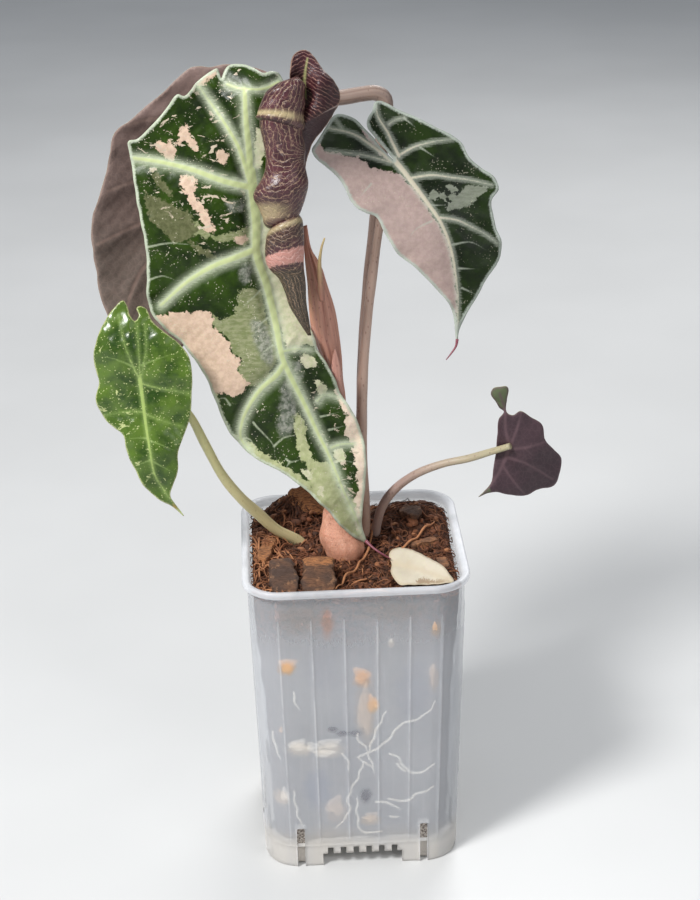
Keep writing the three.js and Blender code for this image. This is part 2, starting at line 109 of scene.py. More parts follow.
def add_camera():
    data = bpy.data.cameras.new("camera")
    data.sensor_width = 36.0
    data.lens = FOCAL * data.sensor_width / max(FRAME_WIDTH, FRAME_HEIGHT)
    data.clip_start = 0.05
    data.clip_end = 20.0
    camera = bpy.data.objects.new("camera", data)
    turn = Matrix((RIGHT, UP, BACK)).transposed().to_4x4()
    camera.matrix_world = Matrix.Translation(Vector(MIDDLE + EYE * MM)) @ turn
    bpy.context.collection.objects.link(camera)
    bpy.context.scene.camera = camera


# Meshes
def add_mesh(name, points, faces, materials, face_material=None, values=None, smooth=True):
    """A mesh object from points in millimetres about the pot's middle."""
    mesh = bpy.data.meshes.new(name)
    placed = np.asarray(points, float) * MM + MIDDLE
    mesh.from_pydata(placed.tolist(), [], [list(map(int, f)) for f in faces])
    for material in materials:
        mesh.materials.append(material)
    if face_material is not None:
        mesh.polygons.foreach_set("material_index", np.asarray(face_material, np.int32))
    for key, data in (values or {}).items():
        data = np.asarray(data, np.float32)
        kind = "FLOAT" if data.ndim == 1 else "FLOAT_VECTOR"
        layer = mesh.attributes.new(key, kind, "POINT")
        layer.data.foreach_set("value" if data.ndim == 1 else "vector", data.ravel())
    mesh.polygons.foreach_set("use_smooth", np.full(len(mesh.polygons), smooth))
    mesh.validate()
    mesh.update()
    piece = bpy.data.objects.new(name, mesh)
    bpy.context.collection.objects.link(piece)
    return piece


def finish_piece(piece, slot, *nodes):
    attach(piece, "root")
    if nodes:
        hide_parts(*nodes)
    return piece


def smooth_line(points, spacing, closed=False):
    """A centripetal curve through the points, resampled evenly."""
    p = np.asarray(points, float)
    n = len(p)
    if closed:
        ring = np.concatenate([p[-1:], p, p[:2]])
    else:
        ring = np.concatenate([2 * p[:1] - p[1:2], p, 2 * p[-1:] - p[-2:-1]])
    out = []
    for i in range(n if closed else n - 1):
        a, b, c, d = ring[i:i + 4]
        ta = 0.0
        tb = ta + max(np.linalg.norm(b - a), 1e-6) ** 0.5
        tc = tb + max(np.linalg.norm(c - b), 1e-6) ** 0.5
        td = tc + max(np.linalg.norm(d - c), 1e-6) ** 0.5
        t = np.linspace(tb, tc, 12, endpoint=False)[:, None]
        ab = a + (b - a) * (t - ta) / (tb - ta)
        bc = b + (c - b) * (t - tb) / (tc - tb)
        cd = c + (d - c) * (t - tc) / (td - tc)
        abc = ab + (bc - ab) * (t - ta) / (tc - ta)
        bcd = bc + (cd - bc) * (t - tb) / (td - tb)
        out.append(abc + (bcd - abc) * (t - tb) / (tc - tb))
    if not closed:
        out.append(p[-1:])
    curve = np.concatenate(out)
    if closed:
        curve = np.concatenate([curve, curve[:1]])
    run = np.concatenate([[0], np.cumsum(np.linalg.norm(np.diff(curve, axis=0), axis=1))])
    count = max(3, int(round(run[-1] / spacing)))
    at = np.linspace(0, run[-1], count + 1)
    even = np.stack([np.interp(at, run, curve[:, k]) for k in range(curve.shape[1])], axis=1)
    return even[:-1] if closed else even


def inside(points, outline):
    """Whether each point lies inside the closed outline."""
    x, y = points[:, 0:1], points[:, 1:2]
    a = outline
    b = np.roll(outline, -1, axis=0)
    crosses = (a[:, 1] > y) != (b[:, 1] > y)
    slope = (b[:, 0] - a[:, 0]) / np.where(b[:, 1] == a[:, 1], 1e-9, b[:, 1] - a[:, 1])
    return (crosses & (x < slope * (y - a[:, 1]) + a[:, 0])).sum(axis=1) % 2 == 1


def distance_along(points, line, closed=False):
    """Each point's distance to the line, and how far along the line its nearest place is, 0 to 1."""
    a = line
    b = np.roll(line, -1, axis=0)
    if not closed:
        a, b = a[:-1], b[:-1]
    step = b - a
    size = np.maximum((step ** 2).sum(1), 1e-12)
    best = np.full(len(points), np.inf)
    place = np.zeros(len(points))
    for k in range(len(a)):
        t = np.clip(((points - a[k]) @ step[k]) / size[k], 0, 1)
        d = np.hypot(*(points - a[k] - t[:, None] * step[k]).T)
        nearer = d < best
        best[nearer] = d[nearer]
        place[nearer] = (k + t[nearer]) / len(a)
    return best, place


def thin_plate(points):
    """A smooth depth over the photograph that passes through the given [px, py, depth]."""
    p = np.asarray(points, float)
    at = p[:, :2] / 100
    n = len(p)

    def bend(q):
        r2 = ((q[:, None] - at[None]) ** 2).sum(2)
        return 0.5 * r2 * np.log(np.maximum(r2, 1e-12))

    system = np.zeros((n + 3, n + 3))
    system[:n, :n] = bend(at)
    system[:n, n] = system[n, :n] = 1
    system[:n, n + 1:] = at
    system[n + 1:, :n] = at.T
    weight = np.linalg.solve(system, np.concatenate([p[:, 2], np.zeros(3)]))

    def depth(q):
        q = np.asarray(q, float)[:, :2] / 100
        return bend(q) @ weight[:n] + weight[n] + q @ weight[n + 1:]

    return depth


# Materials
class Shader:
    """A material's node tree, with short names for the nodes used here. Places are in millimetres."""

    def __init__(self, name):
        self.material = bpy.data.materials.new(name)
        self.material.use_nodes = True
        self.tree = self.material.node_tree
        self.surface = self.tree.nodes["Principled BSDF"]
        self.millimetres = None

    def node(self, kind, **settings):
        made = self.tree.nodes.new(kind)
        for key, value in settings.items():
            setattr(made, key, value)
        return made

    def put(self, socket, value):
        if isinstance(value, bpy.types.NodeSocket):
            self.tree.links.new(value, socket)
        elif isinstance(value, tuple) and len(value) == 3 and socket.type == "RGBA":
            socket.default_value = (*value, 1)
        else:
            socket.default_value = value

    def place(self):
        if self.millimetres is None:
            where = self.node("ShaderNodeTexCoord").outputs["Object"]
            scaled = self.node("ShaderNodeVectorMath", operation="SCALE")
            self.put(scaled.inputs[0], where)
            scaled.inputs["Scale"].default_value = 1 / MM
            self.millimetres = scaled.outputs[0]
        return self.millimetres

    def axes(self, vector):
        """The vector's three numbers."""
        made = self.node("ShaderNodeSeparateXYZ")
        self.put(made.inputs[0], vector)
        return made.outputs

    def height(self):
        return self.axes(self.place())["Z"]

    def value(self, name):
        return self.node("ShaderNodeAttribute", attribute_name=name).outputs["Fac"]

    def vector(self, name):
        return self.node("ShaderNodeAttribute", attribute_name=name).outputs["Vector"]

    def math(self, operation, a, b=0.0, clamp=False):
        made = self.node("ShaderNodeMath", operation=operation, use_clamp=clamp)
        self.put(made.inputs[0], a)
        self.put(made.inputs[1], b)
        return made.outputs[0]

    def add(self, a, b):
        return self.math("ADD", a, b)

    def times(self, a, b):
        return self.math("MULTIPLY", a, b)

    def shake(self, value, noise, size):
        """The value, moved by the noise."""
        return self.add(value, self.times(noise, size))

    def centred(self, noise):
        """The noise, moved so that zero is its middle."""
        return self.math("SUBTRACT", noise, 0.5)

    def stretch(self, x, y, z, where=None):
        made = self.node("ShaderNodeVectorMath", operation="MULTIPLY")
        self.put(made.inputs[0], where or self.place())
        made.inputs[1].default_value = (x, y, z)
        return made.outputs[0]

    def noise(self, scale, detail=3.0, rough=0.55, where=None, twist=0.0):
        made = self.node("ShaderNodeTexNoise")
        self.put(made.inputs["Vector"], where or self.place())
        made.inputs["Scale"].default_value = scale
        made.inputs["Detail"].default_value = detail
        made.inputs["Roughness"].default_value = rough
        made.inputs["Distortion"].default_value = twist
        return made.outputs["Fac"]

    def cells(self, scale, where=None, feature="F1"):
        made = self.node("ShaderNodeTexVoronoi", feature=feature)
        self.put(made.inputs["Vector"], where or self.place())
        made.inputs["Scale"].default_value = scale
        return made.outputs["Distance"]

    def blend(self, value, low, high, start=0.0, end=1.0):
        """Goes smoothly from start to end as the value goes from low to high."""
        made = self.node("ShaderNodeMapRange", interpolation_type="SMOOTHSTEP")
        self.put(made.inputs["Value"], value)
        for key, number in zip(("From Min", "From Max", "To Min", "To Max"), (low, high, start, end)):
            made.inputs[key].default_value = number
        return made.outputs["Result"]

    def mix(self, share, a, b):
        made = self.node("ShaderNodeMix", data_type="RGBA")
        self.put(made.inputs["Factor"], share)
        self.put(made.inputs["A"], a)
        self.put(made.inputs["B"], b)
        return made.outputs["Result"]

    def tint(self, base, colour, value, low, high, share=1.0):
        """The base, turned to the colour by up to the share as the value goes from low to high."""
        return self.mix(self.blend(value, low, high, 0, share), base, colour)

    def smudge(self, x, z, wide, tall, share):
        """A soft ragged spot on the front wall: share in its middle, nothing outside it."""
        away = self.node("ShaderNodeVectorMath", operation="SUBTRACT")
        self.put(away.inputs[0], self.place())
        away.inputs[1].default_value = (MIDDLE[0] / MM + x, MIDDLE[1] / MM - BASE_WIDTH / 2, z)
        far = self.node("ShaderNodeVectorMath", operation="LENGTH")
        self.put(far.inputs[0], self.stretch(1 / wide, 0.05, 1 / tall, away.outputs[0]))
        ragged = self.times(self.centred(self.noise(0.25, 4, 0.6)), 0.9)
        return self.blend(self.add(far.outputs["Value"], ragged), 1.05, 0.35, 0, share)

    def bump(self, height, strength, distance):
        made = self.node("ShaderNodeBump")
        self.put(made.inputs["Height"], height)
        made.inputs["Strength"].default_value = strength
        made.inputs["Distance"].default_value = distance * MM
        self.put(self.surface.inputs["Normal"], made.outputs["Normal"])

    def set(self, **sockets):
        for key, value in sockets.items():
            self.put(self.surface.inputs[key.replace("_", " ")], value)
        return self.material


def flesh(weight, *reach):
    """Sockets for light that goes into a surface: its share, and how many millimetres each colour reaches."""
    return {"Subsurface_Weight": weight, "Subsurface_Radius": tuple(r * MM for r in reach)}


# The two tones of each kind of patch on a leaf, from the lowest layer to the highest.
PATCH_COLOURS = {
    "grey": ((0.265, 0.275, 0.150), (0.165, 0.190, 0.080)),
    "pale": ((0.430, 0.445, 0.245), (0.340, 0.365, 0.180)),
    "sage": ((0.125, 0.130, 0.060), (0.078, 0.085, 0.034)),
    # painted reflection: silvery glints of light, not the leaf's own colour
    "painted_sheen": ((0.35, 0.35, 0.30), (0.10, 0.12, 0.085)),
    "blush": ((0.80, 0.66, 0.52), (0.72, 0.57, 0.44)),
    "cream": ((0.60, 0.57, 0.40), (0.48, 0.49, 0.30)),
    "pink": ((0.640, 0.475, 0.355), (0.540, 0.390, 0.285)),
}


def patch_layers(s, base, colours, flat, ragged, fine):
    """The base with the leaf's patches over it, each mottled in its own two tones and torn at its edge; the
    silvery patches beside the midrib are painted reflection, with soft edges.
    """
    torn = s.add(s.times(ragged, 6.0), s.times(fine, 1.6))
    for key, (one, two) in colours.items():
        # painted reflection: soft-edged silvery glints
        if key == "painted_sheen":
            share = s.blend(s.shake(s.value(key), ragged, 5.0), 1.2, -1.4, 0, 0.78)
        else:
            share = s.blend(s.add(s.value(key), torn), 0.25, -0.25)
        spots = s.noise(0.5, 5, 0.65, s.stretch(0.6, 1.6, 1, flat) if key == "grey" else flat)
        base = s.mix(share, base, s.tint(one, two, spots, 0.38, 0.62))
    return base


def freckle_share(s, flat, start):
    """Small round dots and angular flecks, only where a broad noise is over the start."""
    where = s.blend(s.noise(0.10, 3, 0.6, flat), start, start + 0.16)
    dots = s.times(s.blend(s.cells(0.9, flat), 0.22, 0.14), where)
    flecks = s.blend(s.noise(0.62, 5, 0.68, flat, 0.6), 0.635, 0.66)
    return s.math("MAXIMUM", dots, s.times(flecks, where))


def leaf_upper(
    name, *, dark, light, vein, margin, rough, coat=0.0, freckle=0.0, freckles_from=0.46,
    fleck=(0.56, 0.52, 0.40), patches=None, mottle=None, dried=None, core=(0.52, 0.58, 0.27),
    core_depth=1.0, vein_soft=0.9, halo_width=3.2, halo_share=0.36, margin_width=0.9,
):
    """The upper face: two greens, patches with ragged edges, painted silvery reflections, pale veins,
    freckles and a pale margin.
    """
    s = Shader(name)
    flat = s.vector("flat")
    ragged = s.centred(s.noise(0.42, 5, 0.62, flat))
    fine = s.centred(s.noise(1.6, 4, 0.6, flat))
    streak = s.noise(1.0, 2, 0.5, s.stretch(0.25, 2.2, 1, flat))

    base = s.tint(dark, light, s.noise(0.09, 4, 0.6, flat), 0.36, 0.66)
    base = s.mix(s.times(s.blend(streak, 0.45, 0.75), 0.22), base, light)
    base = s.tint(base, light, s.shake(s.value("edge"), ragged, 7.0), 6.5, 0.0, 0.55)
    base = patch_layers(s, base, {**PATCH_COLOURS, **(patches or {})}, flat, ragged, fine)
    if dried:
        base = s.tint(base, dried, s.shake(s.value("brown"), fine, 5.0), 0.3, -0.6, 0.8)
    if mottle:
        area = s.blend(s.shake(s.value("mottle"), ragged, 8.0), 1.0, -2.0)
        blotch = s.blend(s.noise(0.24, 6, 0.64, s.stretch(0.75, 1.25, 1, flat), 0.8), 0.595, 0.612)
        base = s.mix(s.times(area, blotch), base, mottle)
    if freckle:
        base = s.mix(s.times(freckle_share(s, flat, freckles_from), freckle), base, fleck)

    # Veins: the fine ones, a wide halo with feathered sides, the vein itself and its core.
    base = s.tint(base, vein, s.shake(s.value("thin"), fine, 0.3), 0.70, 0.15, 0.6)
    halo = s.shake(s.value("vein"), fine, 1.2)
    base = s.tint(base, vein, halo, halo_width, 0.0, halo_share)
    base = s.tint(base, vein, s.shake(halo, s.centred(streak), 3.0), 1.3, 0.0, halo_share * 1.4)
    base = s.tint(base, vein, halo, vein_soft, vein_soft - 1.25)
    inner = s.blend(s.shake(s.value("vein"), fine, 0.6 * core_depth), -0.1 * core_depth, -core_depth)
    base = s.mix(s.times(inner, 0.85), base, core)

    rim = s.shake(s.value("edge"), s.add(fine, ragged), 1.3)
    base = s.tint(base, margin, rim, margin_width, margin_width * 0.35, 0.9)
    gloss = s.add(s.times(s.noise(0.6, 3, 0.5, flat), 0.16), rough - 0.08)
    s.bump(s.shake(s.noise(2.6, 3, 0.6, flat), s.cells(1.1, flat), 0.5), 0.22, 0.25)
    return s.set(Base_Color=base, Roughness=gloss, Coat_Weight=coat, Coat_Roughness=0.2,
                 Specular_IOR_Level=0.22, **flesh(0.06, 0.4, 0.8, 0.25))


def leaf_under(name, *, base, deep, vein, crown=None, green=None):
    """The lower face: dull, with raised veins in another tone and a fine net between them."""
    s = Shader(name)
    flat = s.vector("flat")
    cloud = s.blend(s.noise(0.07, 5, 0.6, flat), 0.3, 0.7)
    colour = s.mix(cloud, base, deep)
    if crown:
        down = s.shake(s.axes(flat)[1], s.noise(0.05, 3, 0.6, flat), 24.0)
        colour = s.tint(colour, crown, down, 82, 50, 0.8)
        colour = s.tint(colour, (0.150, 0.122, 0.098), down, 84, 112, 0.6)
    streak = s.noise(1.3, 3, 0.55, s.stretch(0.3, 1.6, 1, flat))
    colour = s.mix(s.times(s.blend(streak, 0.4, 0.8), 0.35), colour, deep)
    if green:
        colour = s.tint(colour, green, s.shake(s.value("grey"), s.centred(cloud), 0.8), 0.5, -0.5)
    net = s.cells(0.55, flat, "DISTANCE_TO_EDGE")
    colour = s.tint(colour, vein, net, 0.10, 0.02, 0.25)
    colour = s.tint(colour, vein, s.value("thin"), 0.5, 0.0, 0.7)
    colour = s.tint(colour, vein, s.value("vein"), 0.6, -0.4, 0.85)
    colour = s.tint(colour, vein, s.value("edge"), 0.9, 0.2, 0.6)
    s.bump(s.add(net, s.noise(2.2, 3, 0.6, flat)), 0.25, 0.3)
    return s.set(Base_Color=colour, Roughness=0.62, **flesh(0.05, 0.6, 0.4, 0.35))


# Leaves
# Outlines run round the blade from the notch between its lobes. A vein is its width in pixels at its two ends
# and the points along it. A patch is an outline too.
FRONT_LEAF = {
    "outline": [
        [221, 78], [223, 73], [226, 67.5], [231, 64], [245, 64.5], [256, 69.5], [263, 73], [272, 71],
        [280, 73], [285, 80], [292, 95], [298, 120], [300, 150], [299, 190], [298, 235], [301, 270],
        [305, 300], [311, 327], [319.5, 350], [330, 370], [342, 394], [349, 406], [356, 418],
        [362.5, 433.5], [365.5, 448], [366, 464], [365.8, 480], [364, 500], [362.5, 516], [363.5, 530],
        [367.4, 545], [360, 542], [352.4, 537], [340, 526], [330, 514], [317, 501], [299, 485],
        [281, 472], [258, 460], [241, 448], [226, 426], [216, 402], [208.6, 384], [196, 362], [180, 342],
        [162, 327], [151, 314], [147, 297], [147, 275], [145, 244], [139, 213], [134, 183], [129, 154],
        [128.5, 141], [137, 139], [147, 130], [161, 115], [170, 103], [174, 97], [178, 94], [184, 96],
        [190, 91], [198, 81], [208, 73], [217.5, 68.5], [219.5, 73],
    ],
    "depths": [
        [252, 180, 3], [246, 66, 14], [252, 87, 6], [190, 92, 9], [212, 100, 10], [134, 180, 6],
        [150, 300, 2], [290, 110, 12], [298, 200, 11], [258, 250, -2], [280, 350, -9], [300, 300, 4],
        [345, 480, -10], [366, 542, -5], [240, 445, -3], [200, 230, -2], [362, 440, -3], [230, 330, -6],
    ],
    "veins": [
        ((10, 7), [[251, 176], [249.5, 150], [246, 120], [243.5, 88]]),
        ((8, 3.5), [[251, 182], [239, 148], [223, 121.5], [208, 99], [200.5, 87]]),
        ((9, 6), [[253, 188], [223, 181], [194, 170.5], [161.5, 162.5], [132, 158.5]]),
        ((9, 5), [[258, 249], [236, 258], [212.5, 267], [186, 283], [160, 306]]),
        (
            (13, 3),
            [
                [251.5, 172], [253.5, 187], [257.5, 224], [257.8, 254], [267.8, 285], [276, 320],
                [283.6, 360], [291, 377], [305, 405], [317.5, 432], [330, 457], [342, 487], [355, 516],
                [367, 544],
            ],
        ),
        ((8, 4), [[284, 366], [277, 376], [260, 391], [246, 412], [240.5, 428], [241, 442], [249, 451]]),
        ((5, 2), [[283, 352], [297, 349], [312, 350]]),
        ((5, 6), [[227, 84], [238, 87.5], [252, 88.5], [266, 88], [280, 82]]),
        ((3.5, 2), [[318, 402], [326, 395.5], [339, 398]]),
        ((4.5, 3), [[332, 448], [342, 444.5], [354, 444]]),
    ],
    "thin": [
        [[321, 417], [339, 412]], [[329, 430], [346, 425]],
        [[253, 423], [266, 436], [274, 446], [274.5, 459]],
        [[274, 446], [284, 437.5], [297, 434.5], [303, 432]], [[286, 459], [290, 461.5], [304, 458.5]],
        [[290, 461.5], [286, 468]], [[242, 440], [249, 440], [256, 450]],
        [[147, 247], [170, 243], [200, 246]], [[148, 280], [163, 276], [178, 282]],
        [[330, 463], [346, 461], [358, 464]], [[338, 486], [352, 483]],
        [[230, 405], [224, 398], [214, 402]], [[262, 290], [250, 300], [238, 312]],
        [[268, 318], [252, 330]], [[273, 345], [258, 356]],
    ],
    "patches": {
        "pink": [
            [
                [146, 318], [163, 315], [187, 312], [212, 314], [213, 326], [228, 339], [234, 355],
                [242, 359], [237, 369], [248, 385], [241, 394], [233, 397], [223, 393], [212, 392],
                [202, 396], [186, 360], [160, 340],
            ],
            [
                [160, 141], [166, 143], [172, 140], [175, 150], [175, 162], [166, 159], [160, 153],
                [155, 147],
            ],
            [
                [186, 124], [190, 134], [196, 143], [199, 152], [191, 148], [184, 140], [180, 146],
                [178, 140], [181, 130],
            ],
            [[217, 151], [223, 149], [228, 156], [226, 164], [219, 162]],
            [
                [182, 177], [192, 175], [196, 185], [195, 196], [205, 208], [214, 226], [217, 232],
                [206, 230], [199, 215], [190, 205], [186, 192], [180, 186],
            ],
            [[235, 238], [245, 236], [247, 242], [238, 244]],
            [
                [198, 78], [209, 70], [220, 66], [214, 77], [206, 82], [196, 88], [188, 95], [184, 93],
                [191, 86],
            ],
        ],
        "grey": [
            [
                [212, 314], [222, 319], [233, 314], [238, 300], [240, 291], [258, 289], [267, 316],
                [278, 357], [271, 373], [258, 387], [248, 386], [237, 369], [242, 358], [233, 355],
                [228, 339], [213, 326],
            ],
            [
                [192, 220], [206, 231], [214, 236], [224, 234], [236, 231], [254, 228], [255, 240],
                [247, 246], [235, 240], [222, 243], [214, 240], [203, 236], [192, 234],
            ],
            [[205, 398], [214, 392], [226, 424], [241, 446], [236, 450], [218, 428]],
        ],
        # painted reflection: silvery glints where the blade slopes beside the midrib
        "painted_sheen": [
            [[240, 268], [250, 264], [256, 268], [252, 276], [246, 283], [240, 279]],
            [[252, 319], [262, 321], [270, 336], [275, 354], [271, 366], [261, 356], [254, 340]],
            [[226, 203], [236, 201], [244, 205], [241, 211], [230, 210]],
            [[283, 383], [292, 384], [296, 405], [294, 424], [287, 437], [279, 432], [280, 405]],
            [[292, 367], [299, 361], [303, 371], [300, 383], [294, 379]],
            [[305, 398], [309, 402], [311, 416], [307, 420], [304, 410]],
        ],
        "sage": [
            [
                [146, 190], [152, 196], [165, 201], [176, 206], [190, 213], [194, 222], [198, 230],
                [192, 236], [184, 241], [175, 244], [168, 236], [160, 228], [152, 222], [147, 210],
            ],
            [[150, 170], [158, 174], [168, 186], [174, 197], [166, 194], [157, 184]],
            [[186, 240], [200, 246], [212, 254], [219, 261], [210, 259], [196, 250]],
        ],
        "pale": [
            [
                [294, 414], [306, 424], [305, 440], [311, 452], [318, 463], [330, 464], [340, 486],
                [350, 500], [360, 503], [361, 526], [367, 546], [345, 534], [324, 506], [309, 484],
                [307, 466], [298, 452], [295, 433],
            ],
            [
                [206, 388], [213, 384], [222, 412], [234, 434], [252, 446], [280, 462], [306, 480],
                [330, 504], [350, 528], [344, 534], [326, 516], [300, 492], [276, 474], [250, 460],
                [232, 444], [218, 420],
            ],
        ],
        "mottle": [
            [
                [140, 142], [160, 118], [186, 94], [214, 86], [238, 92], [240, 140], [244, 174],
                [225, 178], [190, 168], [150, 160], [134, 158],
            ],
            [
                [150, 168], [190, 174], [222, 186], [246, 192], [252, 228], [220, 238], [170, 216],
                [148, 190],
            ],
            [[222, 68], [284, 70], [282, 84], [224, 82]],
            [[300, 385], [352, 404], [362, 470], [362, 520], [340, 500], [318, 440]],
            [[186, 196], [250, 232], [246, 250], [200, 246]],
        ],
        "cream": [
            [
                [258, 196], [268, 212], [284, 238], [300, 268], [307, 300], [314, 326], [323, 346],
                [306, 345], [297, 351], [288, 348], [281, 325], [272, 295], [262, 262], [259, 232],
            ],
            [[257, 129], [264, 135], [265, 152], [259, 168], [253, 170], [256, 150]],
            [[300, 356], [314, 357], [316, 366], [306, 367]],
            [[315, 380], [322, 382], [328, 392], [323, 396], [318, 390]],
            [[334, 452], [342, 449], [344, 460], [338, 464]],
            [[303, 471], [309, 469], [313, 478], [306, 478]],
            [[318, 485], [322, 484], [323, 494], [319, 495]],
        ],
        "blush": [
            [
                [336, 390], [342, 407], [346, 414], [345, 433], [353, 447], [354, 460], [357, 478],
                [356, 506], [359, 534], [375, 548], [378, 480], [372, 440], [356, 405],
            ],
        ],
    },
}

BACK_LEAF = {
    "outline": [
        [262, 92], [278, 80], [262, 70], [240, 65], [225, 64], [211, 67], [199, 66], [190, 68],
        [178, 78], [166, 89], [149, 104], [130, 118.5], [118.5, 127], [112.5, 137], [109, 156],
        [107.5, 168], [101, 188], [96.5, 202], [92, 220], [91, 239], [93.5, 258], [97, 275], [99.5, 293],
        [107, 315], [119, 340], [133, 358], [150, 372], [168, 362], [186, 342], [215, 300], [245, 240],
        [264, 180], [284, 120], [284, 100],
    ],
    "depths": [
        [228, 138, 32], [192, 68, 28], [110, 150, 24], [92, 240, 22], [150, 370, 20], [180, 240, 34],
        [262, 180, 30], [278, 80, 30], [130, 230, 29],
    ],
    "veins": [
        ((6, 3), [[228, 138], [214, 190], [196, 250], [174, 310], [151, 371]]),
        ((4, 2), [[228, 138], [190, 120], [150, 118], [126, 124]]),
        ((4, 2), [[222, 160], [180, 168], [140, 178], [107, 190]]),
        ((4, 2), [[212, 198], [176, 212], [137, 224], [96, 244]]),
        ((4, 2), [[198, 246], [170, 254], [146, 264], [128, 300], [122, 340]]),
        ((4, 2), [[228, 138], [212, 104], [203, 70]]),
    ],
    "thin": [
        [[114, 140], [112, 168], [105, 196], [97, 228], [97, 250], [102, 282], [112, 310]],
        [[180, 80], [160, 98], [136, 118], [120, 132]],
        [[150, 120], [146, 150]],
        [[150, 176], [140, 205]],
    ],
    "patches": {},
}

RIGHT_LEAF = {
    "outline": [
        [394, 160], [386, 150], [376, 139], [368, 127], [368, 118], [373.5, 110], [376, 102],
        [380, 100.5], [386, 102.5], [396, 108.5], [414, 116], [434, 126], [453, 135.5], [462.5, 143],
        [468.5, 156.5], [482, 168], [495, 177.5], [499, 189], [491.5, 200], [493, 214], [496, 227],
        [502, 243], [501, 256], [489.5, 275], [480, 292], [468.5, 311.5], [460.5, 329], [457, 343],
        [455.5, 328], [454, 314], [449, 304], [434, 286.5], [415, 267.5], [396, 252], [389, 240],
        [383, 229], [376.5, 217], [366, 213], [357, 208], [348, 195], [340, 179.5], [328, 168],
        [314.5, 156.5], [312, 150], [317, 142], [321, 135.5], [328, 125], [334.5, 116], [340, 113.5],
        [352, 118], [362, 125], [372, 136], [383, 149],
    ],
    "depths": [
        [395, 159, 8], [380, 103, 16], [434, 127, 14], [492, 186, 9], [499, 250, 4], [457, 338, -6],
        [441, 220, 0], [396, 250, -7], [360, 205, -6], [316, 150, -4], [338, 118, 2], [352, 160, 1],
        [460, 200, 6], [462, 290, -3],
    ],
    "veins": [
        (
            (7, 2),
            [
                [394, 159], [407, 175.5], [424.5, 198.5], [441.5, 223.5], [451.5, 250], [456.5, 280],
                [458.5, 312], [457, 342],
            ],
        ),
        ((5, 2.5), [[399, 156], [389, 135], [377.5, 113], [377, 105]]),
        ((2.5, 1.5), [[389, 124], [396, 119.5], [405, 117.5]]),
        ((4, 1.5), [[401, 154], [414, 147], [432, 142], [453, 139]]),
        ((4, 2), [[411, 178], [432, 175], [452, 177.5], [470, 180], [492, 185]]),
        ((4, 1.5), [[440, 217.5], [457, 220], [471, 226.5], [486, 234.5], [498, 244]]),
        ((5, 2.5), [[392, 161], [371, 145], [354, 134], [328.5, 128]]),
        ((2.2, 1.5), [[343, 130], [336, 119]]),
        ((3, 1.5), [[391, 162], [380, 159], [362.5, 154.5], [345, 152.5], [327, 150.5]]),
    ],
    "thin": [
        [[459, 268.5], [475, 268.5]], [[462, 288], [476, 294.5]], [[452, 245], [470, 242], [486, 250]],
        [[431, 205], [446, 205]], [[371, 184], [361, 196], [359, 203]],
        [[432, 221], [416, 229], [405, 243]], [[420, 147], [436, 158]], [[404, 118], [416, 128]],
    ],
    "patches": {
        "pink": [
            [
                [310, 138], [318, 144], [327, 151.5], [345, 154], [361, 159], [371, 166], [384, 171],
                [396, 171.5], [407, 182], [425, 203], [440, 227], [451, 251], [455.5, 280], [457.5, 312],
                [457, 350], [430, 300], [370, 240], [300, 160],
            ],
            [[362, 122], [368, 128], [384, 147], [394, 160], [388, 160], [374, 146], [362, 130]],
        ],
        "grey": [
            [
                [429, 193], [440, 192], [448, 196], [456, 194], [468, 187], [481, 185.5], [490, 186.5],
                [478, 197], [470, 205], [458, 209], [445, 208], [450, 200], [440, 199], [430, 199],
            ],
            [[446, 186], [456, 187], [460, 191], [452, 192]],
        ],
    },
}

LOWER_LEFT_LEAF = {
    "outline": [
        [135, 321], [130, 316], [127.5, 307], [123, 300.5], [114, 308], [108.5, 314], [99.6, 332],
        [94.5, 350], [94.3, 366], [98.8, 382], [96, 398], [103, 417.5], [114, 428], [124, 435.5],
        [126.5, 453], [135.5, 471], [146, 489], [158.5, 499.5], [171, 507], [184.5, 517.5], [176, 506],
        [170.5, 496], [173, 485.5], [178.2, 469], [178.6, 450], [187, 428], [190.7, 414], [191.8, 394],
        [192.4, 380], [189, 357], [178, 342.5], [164, 332], [151.5, 319.5], [146, 308.5], [139, 306],
        [136.5, 308.5], [139, 315.5],
    ],
    "depths": [
        [140, 382, -15], [123, 302, -6], [142, 308, -6], [95, 358, -11], [98, 400, -12], [191, 385, -16],
        [150, 450, -22], [184, 516, -20], [125, 445, -18], [187, 430, -17], [118, 350, -15],
        [170, 350, -14],
    ],
    "veins": [
        (
            (5, 1.5),
            [[139.8, 380], [142.5, 401], [146, 428], [149.6, 450], [155, 476], [169, 498], [183, 516]],
        ),
        ((2.5, 1), [[139.8, 382], [130, 360], [123, 339], [119, 315]]),
        ((2.5, 1.2), [[139.8, 382], [138.8, 351], [137, 324]]),
        ((2, 1), [[140, 382], [146, 351], [145, 324]]),
        ((2.4, 1), [[141, 384], [160, 389], [175, 391.5], [191, 395]]),
        ((2, 0.8), [[144, 414], [160, 420], [186, 428]]),
        ((2, 0.8), [[144, 412], [126, 412], [104, 416]]),
    ],
    "thin": [
        [[148, 440], [164, 446], [178, 452]], [[147, 438], [134, 438], [125, 440]],
        [[152, 462], [165, 468], [175, 473]], [[152, 460], [140, 464], [133, 466]],
        [[141, 366], [160, 358], [180, 352]], [[134, 368], [112, 358], [96, 356]],
    ],
    "patches": {
        "mottle": [
            [
                [95, 384], [112, 388], [126, 400], [140, 420], [147, 448], [152, 478], [144, 488],
                [128, 456], [112, 430], [100, 414],
            ],
            [[98, 340], [112, 330], [120, 345], [112, 370], [98, 372]],
        ],
        "brown": [[[176, 500], [184, 505], [190, 522], [180, 520], [172, 510]]],
    },
}

